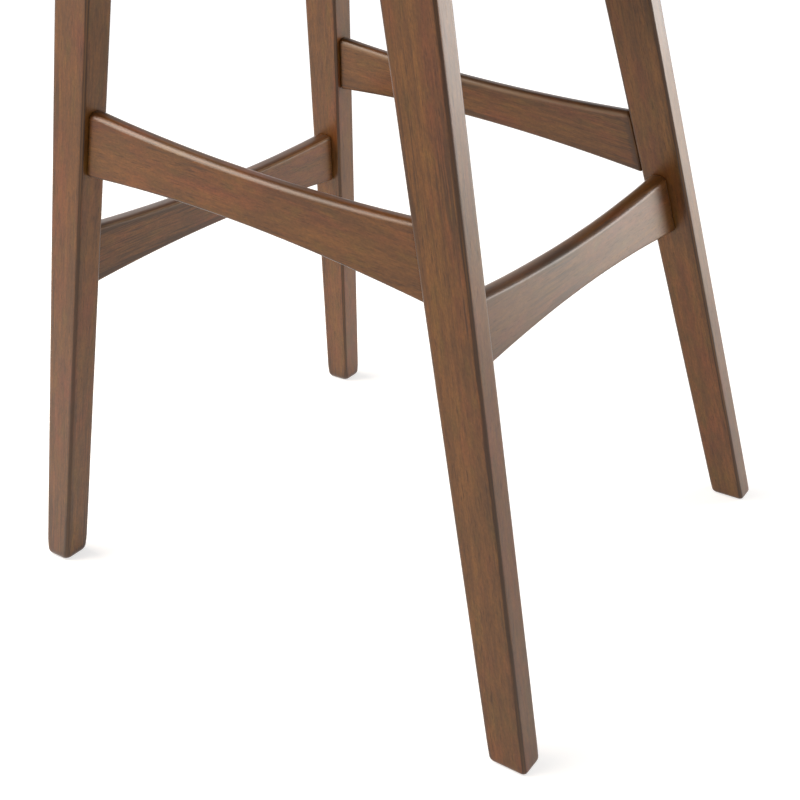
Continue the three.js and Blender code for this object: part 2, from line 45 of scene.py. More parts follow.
# =====================================================================================
# camera
# =====================================================================================
def make_camera():
    data = bpy.data.cameras.new("camera")
    data.lens, data.sensor_width, data.sensor_fit = 53.68, 36.0, "AUTO"
    data.clip_start, data.clip_end = 0.02, 60.0
    obj = bpy.data.objects.new("camera", data)
    scene.collection.objects.link(obj)
    right, up, fwd = Vector((-0.5724, 0.8200, 0)), Vector((-0.3863, -0.2697, 0.8821)), Vector((-0.7233, -0.5049, -0.4711))
    roll = -0.0185
    r2 = right * math.cos(roll) + up * math.sin(roll)
    u2 = -right * math.sin(roll) + up * math.cos(roll)
    loc = Vector((0.8405, 0.5776, 0.6851))
    m = Matrix.Identity(4)
    for i in range(3):
        m[i][0], m[i][1], m[i][2], m[i][3] = r2[i], u2[i], -fwd[i], loc[i]
    obj.matrix_world = m
    scene.camera = obj


make_camera()


# =====================================================================================
# small tools
# =====================================================================================
def smooth(a, b, v):
    t = min(1.0, max(0.0, (v - a) / (b - a)))
    return t * t * (3 - 2 * t)


def bell(v, width):
    return math.exp(-(v / width) ** 2)


def wobble(x, y=0.0, z=0.0):
    return noise.noise(Vector((x, y, z)))


def finish_mesh(name, verts, faces, attrs=None, angle=35.0, flip=None):
    """A mesh object from points in metres; faces are turned out if the volume is negative."""
    verts = np.asarray(verts, float).reshape(-1, 3)
    if flip is None:
        vol = 0.0
        for f in faces:
            a = verts[f[0]]
            for i in range(1, len(f) - 1):
                vol += float(np.dot(a, np.cross(verts[f[i]], verts[f[i + 1]])))
        flip = vol < 0
    if flip:
        faces = [tuple(reversed(f)) for f in faces]
    me = bpy.data.meshes.new(name)
    me.from_pydata(verts.tolist(), [], [tuple(f) for f in faces])
    me.polygons.foreach_set("use_smooth", [True] * len(me.polygons))
    for key, (kind, values) in (attrs or {}).items():
        at = me.attributes.new(key, kind, "POINT")
        flat = np.asarray(values, np.float32).ravel()
        at.data.foreach_set("vector" if kind == "FLOAT_VECTOR" else "value", flat)
    if angle:
        me.set_sharp_from_angle(angle=math.radians(angle))
    me.update()
    ob = bpy.data.objects.new(name, me)
    scene.collection.objects.link(ob)
    return ob


def loft_faces(rows, cols, ring_rows=False, ring_cols=True):
    faces = []
    for i in range(rows if ring_rows else rows - 1):
        j = (i + 1) % rows
        for k in range(cols if ring_cols else cols - 1):
            q = (k + 1) % cols
            faces.append((i * cols + k, i * cols + q, j * cols + q, j * cols + k))
    return faces


def set_material(ob, mat):
    ob.data.materials.clear()
    ob.data.materials.append(mat)


def done(ob, mat, slot, *nodes):
    set_material(ob, mat)
    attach(ob, "root")
    if nodes:
        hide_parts(*nodes)
    return ob


def apply_modifiers(ob):
    dg = bpy.context.evaluated_depsgraph_get()
    dg.update()
    me = bpy.data.meshes.new_from_object(ob.evaluated_get(dg), preserve_all_data_layers=True, depsgraph=dg)
    old = ob.data
    ob.modifiers.clear()
    ob.data = me
    me.name = ob.name
    bpy.data.meshes.remove(old)


# =====================================================================================
# materials
# =====================================================================================
class Tree:
    def __init__(self, name):
        self.mat = bpy.data.materials.new(name)
        self.mat.use_nodes = True
        self.nt = self.mat.node_tree
        self.nt.nodes.clear()
        self.out = self.nt.nodes.new("ShaderNodeOutputMaterial")
        self.bsdf = self.nt.nodes.new("ShaderNodeBsdfPrincipled")
        self.nt.links.new(self.bsdf.outputs[0], self.out.inputs["Surface"])

    def node(self, kind, **kw):
        n = self.nt.nodes.new("ShaderNode" + kind)
        for k, v in kw.items():
            setattr(n, k, v)
        return n

    def put(self, socket, value):
        if isinstance(value, bpy.types.NodeSocket):
            self.nt.links.new(value, socket)
        else:
            socket.default_value = value

    def attr(self, name):
        n = self.node("Attribute", attribute_name=name)
        return n.outputs

    def math(self, op, a, b=None, c=None, clamp=False):
        n = self.node("Math", operation=op, use_clamp=clamp)
        for i, v in enumerate((a, b, c)):
            if v is not None:
                self.put(n.inputs[i], v)
        return n.outputs[0]

    def vmath(self, op, a, b=None, scale=None):
        n = self.node("VectorMath", operation=op)
        self.put(n.inputs[0], a)
        if b is not None:
            self.put(n.inputs[1], b)
        if scale is not None:
            self.put(n.inputs["Scale"], scale)
        return n.outputs[0]

    def noise(self, vec, scale=1.0, detail=2.0, rough=0.5, distortion=0.0, color=False):
        n = self.node("TexNoise")
        self.put(n.inputs["Vector"], vec)
        n.inputs["Scale"].default_value = scale
        n.inputs["Detail"].default_value = detail
        n.inputs["Roughness"].default_value = rough
        n.inputs["Distortion"].default_value = distortion
        return n.outputs["Color" if color else "Fac"]

    def ramp(self, fac, stops):
        n = self.node("ValToRGB")
        els = n.color_ramp.elements
        while len(els) < len(stops):
            els.new(0.5)
        for el, (pos, col) in zip(els, stops):
            el.position = pos
            el.color = (*col, 1.0) if len(col) == 3 else col
        self.put(n.inputs[0], fac)
        return n.outputs[0]

    def level(self, fac, lo, hi, out_lo=0.0, out_hi=1.0):
        n = self.node("MapRange", clamp=True)
        self.put(n.inputs["Value"], fac)
        for k, v in (("From Min", lo), ("From Max", hi), ("To Min", out_lo), ("To Max", out_hi)):
            n.inputs[k].default_value = v
        return n.outputs["Result"]

    def mix(self, fac, a, b, blend="MIX"):
        n = self.node("Mix", data_type="RGBA", blend_type=blend)
        self.put(n.inputs[0], fac)
        for sock, v in ((n.inputs[6], a), (n.inputs[7], b)):
            if isinstance(v, tuple):
                v = (*v, 1.0) if len(v) == 3 else v
            self.put(sock, v)
        return n.outputs[2]

    def bump(self, height, strength, distance, normal=None):
        n = self.node("Bump")
        n.inputs["Strength"].default_value = strength
        n.inputs["Distance"].default_value = distance
        self.put(n.inputs["Height"], height)
        if normal is not None:
            self.put(n.inputs["Normal"], normal)
        return n.outputs["Normal"]

    def set(self, **kw):
        for k, v in kw.items():
            self.put(self.bsdf.inputs[k.replace("_", " ")], v)


def wood_material(name, dark, mid, light, red, olive, coat=0.9, coat_rough=0.33, rough=(0.42, 0.52), pores=0.4, from_attr=True, edge_dark=0.75):
    t = Tree(name)
    g = t.attr("grain")["Vector"] if from_attr else t.node("TexCoord").outputs["Object"]
    # slow wander of the grain across the board
    wander = t.noise(t.vmath("MULTIPLY", g, (9.0, 9.0, 2.2)), 1.0, 2.0, 0.5, color=True)
    shift = t.vmath("MULTIPLY", t.vmath("SUBTRACT", wander, (0.5, 0.5, 0.5)), (0.010, 0.010, 0.0))
    gw = t.vmath("ADD", g, shift)
    # broad growth figure, long in the grain direction
    figure = t.noise(t.vmath("MULTIPLY", gw, (95.0, 95.0, 2.6)), 1.0, 3.0, 0.55, 0.4)
    streak = t.noise(t.vmath("MULTIPLY", gw, (400.0, 400.0, 24.0)), 1.0, 2.0, 0.6)
    fibre = t.noise(t.vmath("MULTIPLY", gw, (2100.0, 2100.0, 60.0)), 1.0, 2.0, 0.6)
    pore = t.noise(t.vmath("MULTIPLY", gw, (1350.0, 1350.0, 95.0)), 1.0, 1.0, 0.5)
    mask = t.noise(t.vmath("MULTIPLY", gw, (60.0, 60.0, 9.0)), 1.0, 2.0, 0.5)
    pore_thr = t.level(mask, 0.35, 0.68, 0.05, -0.03)
    pore_cut = t.level(t.math("ADD", pore, pore_thr), 0.40, 0.28)
    blotch = t.noise(t.vmath("MULTIPLY", g, (46.0, 46.0, 15.0)), 1.0, 3.0, 0.6)
    blotch2 = t.noise(t.vmath("ADD", t.vmath("MULTIPLY", g, (85.0, 85.0, 34.0)), (7.3, 2.1, 5.5)), 1.0, 2.0, 0.6)

    tone = t.math("ADD", t.math("MULTIPLY", figure, 0.66), t.math("MULTIPLY", streak, 0.34))
    col = t.ramp(tone, [(0.26, dark), (0.5, mid), (0.76, light)])
    col = t.mix(t.level(blotch, 0.46, 0.70, 0.0, 0.58), col, red)
    col = t.mix(t.level(blotch2, 0.52, 0.74, 0.0, 0.52), col, olive)
    fleck = t.noise(t.vmath("MULTIPLY", gw, (360.0, 360.0, 70.0)), 1.0, 2.0, 0.65)
    speck = t.noise(t.vmath("MULTIPLY", g, (620.0, 620.0, 420.0)), 1.0, 1.0, 0.5)
    shade = t.math("MULTIPLY", t.level(fibre, 0.3, 0.7, 0.92, 1.07), t.level(fleck, 0.32, 0.68, 0.83, 1.17))
    shade = t.math("MULTIPLY", shade, t.level(speck, 0.3, 0.7, 0.88, 1.12))
    cloud = t.noise(t.vmath("ADD", t.vmath("MULTIPLY", g, (52.0, 52.0, 24.0)), (3.1, 8.8, 1.2)), 1.0, 2.0, 0.5)
    shade = t.math("MULTIPLY", shade, t.level(cloud, 0.3, 0.7, 0.88, 1.10))
    cc = t.node("CombineColor")
    for i in range(3):
        t.put(cc.inputs[i], shade)
    col = t.mix(1.0, col, cc.outputs[0], "MULTIPLY")
    col = t.mix(t.math("MULTIPLY", pore_cut, pores), col, tuple(0.32 * c for c in dark))
    if from_attr:
        edge = t.attr("edge")["Fac"]
        patch = t.noise(t.vmath("MULTIPLY", g, (30.0, 30.0, 7.0)), 1.0, 2.0, 0.6)
        line = t.noise(t.vmath("MULTIPLY", gw, (520.0, 520.0, 16.0)), 1.0, 2.0, 0.6)
        ragged = t.math("ADD", edge, t.level(line, 0.3, 0.7, -0.34, 0.30))
        narrow = t.math("MULTIPLY", t.level(ragged, 0.42, 0.72), t.level(patch, 0.3, 0.6, 0.7, 1.0))
        pooled = t.noise(t.vmath("ADD", t.vmath("MULTIPLY", g, (4.0, 4.0, 5.0)), (1.7, 4.4, 9.1)), 1.0, 1.0, 0.5)
        wide = t.math("MULTIPLY", t.level(ragged, 0.02, 0.26, 0.0, 0.9), t.level(pooled, 0.49, 0.64))
        toned = t.math("MAXIMUM", narrow, wide)
        # stain along the edges; on the rails the same edge values also carry painted shade across the top and at the
        # joints with the legs
        col = t.mix(t.math("MULTIPLY", toned, edge_dark), col, tuple(0.45 * c for c in dark))
        # paler patches along the middle of each rounded edge and over the rails' rounded ends
        pale_edge_patch = t.math("MULTIPLY", t.level(edge, 0.86, 0.98), t.level(patch, 0.42, 0.62))
        col = t.mix(t.math("MULTIPLY", pale_edge_patch, 0.6), col, light)
        # painted highlight: a pale warm colour is mixed in, in streaks along the grain, where the rail marks its top
        # arris
        painted_highlight_mask = t.math("MULTIPLY", t.attr("painted_highlight")["Fac"], t.level(line, 0.25, 0.6, 0.5, 1.0))
        col = t.mix(painted_highlight_mask, col, (0.27, 0.185, 0.12))
    rg = t.math("ADD", t.level(streak, 0.3, 0.7, rough[0], rough[1]), t.math("MULTIPLY", pore_cut, 0.18))
    t.set(Base_Color=col, Roughness=rg, IOR=1.5, Coat_Weight=coat, Coat_Roughness=coat_rough, Coat_IOR=1.36)
    t.bsdf.inputs["Specular IOR Level"].default_value = 0.12
    h = t.math("ADD", t.math("MULTIPLY", pore_cut, -1.0), t.math("MULTIPLY", fibre, 0.22))
    n1 = t.bump(h, 0.35, 0.00012)
    soft = t.noise(t.vmath("MULTIPLY", g, (70.0, 70.0, 34.0)), 1.0, 1.0, 0.5)
    n2 = t.bump(soft, 0.25, 0.0004, n1)
    t.set(Normal=n2)
    t.bsdf.inputs["Coat Normal"].default_value = (0, 0, 0)
    t.nt.links.new(t.bump(soft, 0.22, 0.0004), t.bsdf.inputs["Coat Normal"])
    return t.mat


def srgb(r, g, b):
    def f(c):
        c /= 255.0
        return c / 12.92 if c <= 0.04045 else ((c + 0.055) / 1.055) ** 2.4
    return (f(r), f(g), f(b))


WALNUT = wood_material(
    "walnut_stained", srgb(72, 43, 13), srgb(89, 54, 17), srgb(105, 67, 24), srgb(101, 50, 24), srgb(86, 62, 16), pores=0.55, edge_dark=0.92)
BLOCK = wood_material(
    "beech_block", srgb(158, 122, 82), srgb(178, 143, 100), srgb(196, 164, 122), srgb(186, 140, 98), srgb(170, 146, 100),
    coat=0.0, rough=(0.55, 0.7), pores=0.3, from_attr=False)


def ply_material():
    t = Tree("plywood")
    p = t.node("TexCoord").outputs["Object"]
    sep = t.node("SeparateXYZ")
    t.put(sep.inputs[0], p)
    up = t.math("ADD", sep.outputs[2], t.math("MULTIPLY", sep.outputs[1], 0.1033))
    ply = t.math("SINE", t.math("MULTIPLY", up, 2 * math.pi / 0.0032))
    grain = t.noise(t.vmath("MULTIPLY", p, (12.0, 260.0, 260.0)), 1.0, 3.0, 0.6, 0.3)
    grain2 = t.noise(t.vmath("MULTIPLY", p, (60.0, 1500.0, 1500.0)), 1.0, 2.0, 0.6)
    col = t.ramp(grain, [(0.3, srgb(176, 140, 98)), (0.5, srgb(200, 168, 124)), (0.7, srgb(214, 186, 146))])
    col = t.mix(t.level(ply, 0.1, 0.6, 0.0, 0.55), col, srgb(140, 104, 70))
    col = t.mix(t.level(grain2, 0.35, 0.6, 0.3, 0.0), col, srgb(120, 88, 58))
    t.set(Base_Color=col, Roughness=t.level(grain, 0.3, 0.7, 0.6, 0.75), Normal=t.bump(grain2, 0.3, 0.0002))
    return t.mat


PLY = ply_material()


def steel_material():
    t = Tree("zinc_plate")
    p = t.node("TexCoord").outputs["Object"]
    n = t.noise(p, 900.0, 3.0, 0.6)
    spot = t.noise(p, 260.0, 2.0, 0.5)
    col = t.ramp(n, [(0.3, srgb(142, 142, 146)), (0.7, srgb(178, 178, 180))])
    col = t.mix(t.level(spot, 0.6, 0.78, 0.0, 0.4), col, srgb(126, 118, 104))
    t.set(Base_Color=col, Metallic=1.0, Roughness=t.level(n, 0.3, 0.7, 0.28, 0.46), Normal=t.bump(n, 0.15, 0.0001))
    return t.mat


def nylon_material():
    t = Tree("nylon_glide")
    p = t.node("TexCoord").outputs["Object"]
    n = t.noise(p, 700.0, 3.0, 0.6)
    scuff = t.noise(t.vmath("MULTIPLY", p, (300.0, 900.0, 300.0)), 1.0, 3.0, 0.7)
    col = t.ramp(n, [(0.3, srgb(50, 42, 38)), (0.7, srgb(64, 56, 50))])
    col = t.mix(t.level(scuff, 0.56, 0.72, 0.0, 0.4), col, srgb(120, 112, 104))
    t.set(Base_Color=col, Roughness=t.level(scuff, 0.35, 0.7, 0.42, 0.68), Normal=t.bump(n, 0.25, 0.0001))
    return t.mat


STEEL = steel_material()
NYLON = nylon_material()


def dust_material():
    """Black spun-bonded cloth: short felted fibres and a fine grid of bonding dots."""
    t = Tree("spunbond_cloth")
    p = t.attr("weave")["Vector"]
    sep = t.node("SeparateXYZ")
    t.put(sep.inputs[0], p)
    a = t.math("SINE", t.math("MULTIPLY", sep.outputs[0], math.pi / 0.0011))
    b = t.math("SINE", t.math("MULTIPLY", sep.outputs[1], math.pi / 0.0011))
    dots = t.level(t.math("MULTIPLY", a, b), 0.45, 0.85)
    fibre = t.noise(p, 1500.0, 3.0, 0.7, 1.2)
    cloud = t.noise(p, 60.0, 3.0, 0.6)
    col = t.ramp(fibre, [(0.32, srgb(18, 18, 20)), (0.6, srgb(40, 40, 44)), (0.75, srgb(66, 66, 70))])
    col = t.mix(t.level(cloud, 0.4, 0.7, 0.0, 0.35), col, srgb(50, 50, 54))
    col = t.mix(t.math("MULTIPLY", dots, 0.6), col, srgb(14, 14, 16))
    h = t.math("SUBTRACT", fibre, t.math("MULTIPLY", dots, 0.8))
    t.set(Base_Color=col, Roughness=t.level(fibre, 0.3, 0.7, 0.8, 0.95), Normal=t.bump(h, 0.5, 0.0003))
    t.bsdf.inputs["Sheen Weight"].default_value = 0.15
    return t.mat


def fabric_material(name, warp, weft, pitch=0.0021, sheen=0.35):
    """Plain weave in real yarn pitch, read from the cloth's own cut coordinates in metres."""
    t = Tree(name)
    w = t.attr("weave")["Vector"]
    bend = t.vmath("MULTIPLY", t.vmath("SUBTRACT", t.noise(w, 130.0, 2.0, 0.5, color=True), (0.5, 0.5, 0.5)), (0.0011, 0.0011, 0.0))
    w2 = t.vmath("ADD", w, bend)
    sep = t.node("SeparateXYZ")
    t.put(sep.inputs[0], w2)
    s, v = sep.outputs[0], sep.outputs[1]
    sa = t.math("SINE", t.math("MULTIPLY", s, math.pi / pitch))
    sb = t.math("SINE", t.math("MULTIPLY", v, math.pi / pitch))
    over = t.level(t.math("MULTIPLY", sa, sb), -0.12, 0.12)         # 1 where the warp is on top
    ua, ub = t.math("ABSOLUTE", sa), t.math("ABSOLUTE", sb)
    hw = t.math("MULTIPLY", ua, t.math("ADD", t.math("MULTIPLY", ub, 0.45), 0.55))
    hf = t.math("MULTIPLY", ub, t.math("ADD", t.math("MULTIPLY", ua, 0.45), 0.55))
    height = t.math("ADD", t.math("MULTIPLY", hw, over), t.math("MULTIPLY", hf, t.math("SUBTRACT", 1.0, over)))
    # yarn colour runs along each yarn
    slub_w = t.noise(t.vmath("MULTIPLY", w2, (480.0, 34.0, 1.0)), 1.0, 2.0, 0.6)
    slub_f = t.noise(t.vmath("ADD", t.vmath("MULTIPLY", w2, (34.0, 480.0, 1.0)), (3.1, 8.7, 0.0)), 1.0, 2.0, 0.6)
    fuzz = t.noise(w, 2600.0, 2.0, 0.7, 0.8)
    cw = t.ramp(slub_w, [(0.3, tuple(0.62 * c for c in warp)), (0.5, warp), (0.7, tuple(min(1, 1.28 * c) for c in warp))])
    cf = t.ramp(slub_f, [(0.3, tuple(0.66 * c for c in weft)), (0.5, weft), (0.7, tuple(min(1, 1.22 * c) for c in weft))])
    col = t.mix(over, cf, cw)
    cloud = t.noise(w, 14.0, 2.0, 0.5)
    col = t.mix(t.level(cloud, 0.35, 0.7, 0.0, 0.16), col, tuple(0.72 * c for c in weft))
    # painted shade: the hollows of the weave, where the yarn lies low, are darkened
    painted_shade = t.level(height, 0.0, 0.55, 0.55, 0.0)
    col = t.mix(painted_shade, col, tuple(0.38 * c for c in weft))
    col = t.mix(t.level(fuzz, 0.58, 0.75, 0.0, 0.3), col, tuple(min(1, 1.5 * c) for c in warp))
    hh = t.math("ADD", height, t.math("MULTIPLY", fuzz, 0.35))
    hh = t.math("ADD", hh, t.math("MULTIPLY", slub_w, 0.5))
    t.set(Base_Color=col, Roughness=t.level(height, 0.0, 1.0, 0.97, 0.84), Normal=t.bump(hh, 0.55, 0.0005))
    t.bsdf.inputs["Sheen Weight"].default_value = sheen
    t.bsdf.inputs["Sheen Roughness"].default_value = 0.45
    t.bsdf.inputs["Specular IOR Level"].default_value = 0.25
    return t.mat


FABRIC = fabric_material("woven_upholstery", srgb(163, 157, 148), srgb(131, 124, 114))
PIPING = fabric_material("woven_piping", srgb(148, 141, 131), srgb(117, 110, 99), pitch=0.0016)
DUST = dust_material()


def thread_material():
    t = Tree("sewing_thread")
    p = t.node("TexCoord").outputs["Object"]
    n = t.noise(p, 1800.0, 2.0, 0.6)
    col = t.ramp(n, [(0.3, srgb(120, 112, 100)), (0.7, srgb(164, 155, 140))])
    t.set(Base_Color=col, Roughness=t.level(n, 0.3, 0.7, 0.55, 0.8), Normal=t.bump(n, 0.4, 0.0002))
    t.bsdf.inputs["Sheen Weight"].default_value = 0.2
    return t.mat


THREAD = thread_material()


# =====================================================================================
# walnut members: the same faces as the frame's own, with finer edges and a grain direction
# =====================================================================================
GAP = 0.3
BACK_LEG = dict(yOut=(270.8, 0.2348), yIn=(237.4, 0.2574), xOut=(242.9, 0.1358), xIn=(219.1, 0.1324))
FRONT_LEG = dict(yOut=(270.6, 0.0938), yIn=(241.3, 0.1137), xOut=(242.9, 0.1322), xIn=(215.5, 0.1322))
LEG_ROUND, FOOT_ROUND, LEG_FLOOR_Z = 3.0, 3.2, 0.8
SEAT_FALL, SEAT_Z = 0.1033, 694.0
TOP_ROUND, BOT_ROUND, END_ROUND = 4.6, 2.0, 2.4
# In the rail specs the tone across the top is painted shade and the paler top arris is a painted highlight.
SIDE_STR = dict(top=418.0, topFall=33.6, topSag=6.9, bot=362.9, botFall=36.1, botRise=9.1, setback=5.9, thick=16.0, crown=1.15, roundTop=5.0, arch=0.4, topTone=0.6, topSpan=(7.0, 15.3), painted_highlight=0.55)
BACK_STR = dict(top=345.9, topFall=0, topSag=7.9, bot=293.1, botFall=0, botRise=8.2, setback=16.7, thick=16.4, crown=1.8, roundTop=3.6, arch=0.9, painted_highlight_top=0.4)
FOOTREST = dict(top=328.2, topFall=0, topSag=7.5, bot=275.4, botFall=0, botRise=8.2, setback=5.4, thick=20.6, crown=2.2, roundTop=3.2, topTone=0.75, arch=0.5, painted_highlight=0.4)
SEAT_RAIL = dict(top=694.0, topFall=0, topSag=0, bot=640.0, botFall=0, botRise=0, setback=4.5, thick=18.0, fall=SEAT_FALL, roundTop=1.2, roundBot=2.0)
ARC, ARC_TOP = 6, 9


def line(l, z):
    return l[0] - l[1] * z


def edge_weight(j, n, wide=False):
    """0 on the flats, 1 on the turn of an edge; a wide eased edge only counts near its outer end."""
    f = j / (n - 1)
    return 0.25 + 0.75 * math.sin(math.pi * f) if not wide else 0.15 + 0.35 * math.sin(math.pi * f)


def corner_run(corners):
    """Corners are (first point, next point, ...) arcs; flats between them get two extra points at each end.
    Returns [(a, b, edge)] round the section."""
    out = []
    n = len(corners)
    for i in range(n):
        arc = corners[i]
        for j, p in enumerate(arc):
            out.append((p[0], p[1], edge_weight(j, len(arc), len(arc) > ARC + 1)))
        a, b = arc[-1], corners[(i + 1) % n][0]
        length = math.hypot(b[0] - a[0], b[1] - a[1])
        d1, d2, d3 = min(1.3, 0.15 * length), min(4.0, 0.28 * length), min(7.5, 0.4 * length)
        for d, e in ((d1, 0.42), (d2, 0.22), (d3, 0.0), (length - d3, 0.0), (length - d2, 0.22), (length - d1, 0.42)):
            f = d / length
            out.append((a[0] + (b[0] - a[0]) * f, a[1] + (b[1] - a[1]) * f, e))
    return out


def side_point(sx, u, t, zf, setback, k, gap):
    y = 0.0
    for _ in range(6):
        z = zf - k * y
        yf = -line(FRONT_LEG["yIn"], z) + gap
        yb = line(BACK_LEG["yIn"], z) - gap
        y = yf + (yb - yf) * u
        xf, xb = line(FRONT_LEG["xOut"], z), line(BACK_LEG["xOut"], z)
        x = xf + (xb - xf) * u - setback - t
    return (sx * x, y, z)


def cross_point(sy, u, t, zf, setback, k, gap):
    leg = FRONT_LEG if sy < 0 else BACK_LEG
    y = 0.0
    for _ in range(6):
        z = zf - k * y
        y = sy * (line(leg["yOut"], z) - setback - t)
        x = (line(leg["xIn"], z) - gap) * (2 * u - 1)
    return (x, y, z)


def make_rail(name, kind, sign, spec, seed, stations=36):
    k = spec.get("fall", 0.0)
    point = (lambda u, t, z: side_point(sign, u, t, z, spec["setback"], k, 0.05)) if kind == "side" else \
            (lambda u, t, z: cross_point(sign, u, t, z, spec["setback"], k, 0.05))
    top = lambda u: spec["top"] - spec["topFall"] * (u - 0.5) - 4 * spec["topSag"] * u * (1 - u)
    bot = lambda u: spec["bot"] - spec["botFall"] * (u - 0.5) + 4 * spec["botRise"] * u * (1 - u)
    length = math.dist(point(0, 0, top(0)), point(1, 0, top(1)))
    rt, rb = spec.get("roundTop", TOP_ROUND), spec.get("roundBot", BOT_ROUND)
    R = END_ROUND
    ends = [(-2.5 / length, R)] + [(R * (1 - math.cos(a)) / length, R * (1 - math.sin(a))) for a in (i / 6 * math.pi / 2 for i in range(7))]
    ends += [(4.6 / length, 0.0), (7.5 / length, 0.0)]
    us = list(ends) + [(i / stations, 0.0) for i in range(1, stations)] + [(1 - u, e) for u, e in reversed(ends)]
    verts, grain, edge, painted_highlight = [], [], [], []
    for u, e in us:
        uu = min(1.0, max(0.0, u))
        b, tp = bot(uu) + e, top(uu) - e
        w0, w1 = e, spec["thick"] - e
        vary = 1 + 0.07 * wobble(u * length * 0.02, seed * 3.7)
        r1 = min(rt * vary, (w1 - w0) / 2 - 0.2)
        r1x = min(spec.get("crown", 1.0) * r1, (w1 - w0) / 2 - 0.3)
        r0 = min(rb * (2 - vary), (w1 - w0) / 2 - 0.2)
        arcs = []
        for cx, cy, rx, ry, a0, n in ((w1 - r0, b + r0, r0, r0, -90, ARC), (w1 - r1x, tp - r1, r1x, r1, 0, ARC_TOP), (w0 + r1x, tp - r1, r1x, r1, 90, ARC_TOP), (w0 + r0, b + r0, r0, r0, 180, ARC)):
            arcs.append([(cx + rx * math.cos(math.radians(a0 + 90 * i / n)), cy + ry * math.sin(math.radians(a0 + 90 * i / n))) for i in range(n + 1)])
        # stain has also gathered where the rail meets the leg; the darkening that fades out over the first millimetres
        # from the end is that stain together with painted shade for the joint's contact shadow
        near_end = 1.0 if e > 0.05 else 0.5 * (1 - smooth(3.2, 7.4, min(uu, 1 - uu) * length))
        for t, z, ed in corner_run(arcs):
            half = spec["thick"] / 2
            z -= spec.get("arch", 0.0) * ((t - half) / half) ** 2 * smooth(tp - 1.6 * r1, tp - 0.1, z)
            p = point(u, t, z)
            verts.append((p[0] * MM, p[1] * MM, p[2] * MM))
            tilt = 0.02 * math.sin(seed * 2.1)
            along = u * length
            grain.append(((t + seed * 37.0) * MM, (z - (tp + b) / 2 + tilt * along + seed * 61.0) * MM, (along + seed * 533.0) * MM))
            t0, t1 = spec.get("topSpan", (0.8, spec["thick"] - 1.6))
            # painted shade: across the inner part of the rail's top the edge tone is raised, darkening it to stand in
            # for the shade under the seat
            painted_shade = spec.get("topTone", 0.0) * smooth(tp - r1 - 0.5, tp - 0.4, z) if t0 < t < t1 else 0.0
            edge.append(max(ed, near_end, painted_shade))
            # painted highlight: the inner arris of the top is made paler to stand in for the gloss highlight along it
            pale = spec.get("painted_highlight", 0.0) * bell(z - (tp - r1) - 1.4, 1.6) if t > spec["thick"] - 2.2 else 0.0
            # painted reflection: on the back stretcher the far part of the top is made paler as well
            if z > tp - 3.0:
                pale = max(pale, spec.get("painted_highlight_top", 0.0) * smooth(7.0, 10.5, t))
            painted_highlight.append(pale * (1 - near_end) if e < 0.05 else 0.0)
    cols = len(verts) // len(us)
    faces = loft_faces(len(us), cols)
    faces.append(tuple(range(cols - 1, -1, -1)))
    faces.append(tuple((len(us) - 1) * cols + i for i in range(cols)))
    ob = finish_mesh(name + "_wood", verts, faces, {"grain": ("FLOAT_VECTOR", grain), "edge": ("FLOAT", edge), "painted_highlight": ("FLOAT", painted_highlight)}, angle=50)
    return done(ob, WALNUT, "walnut", name)


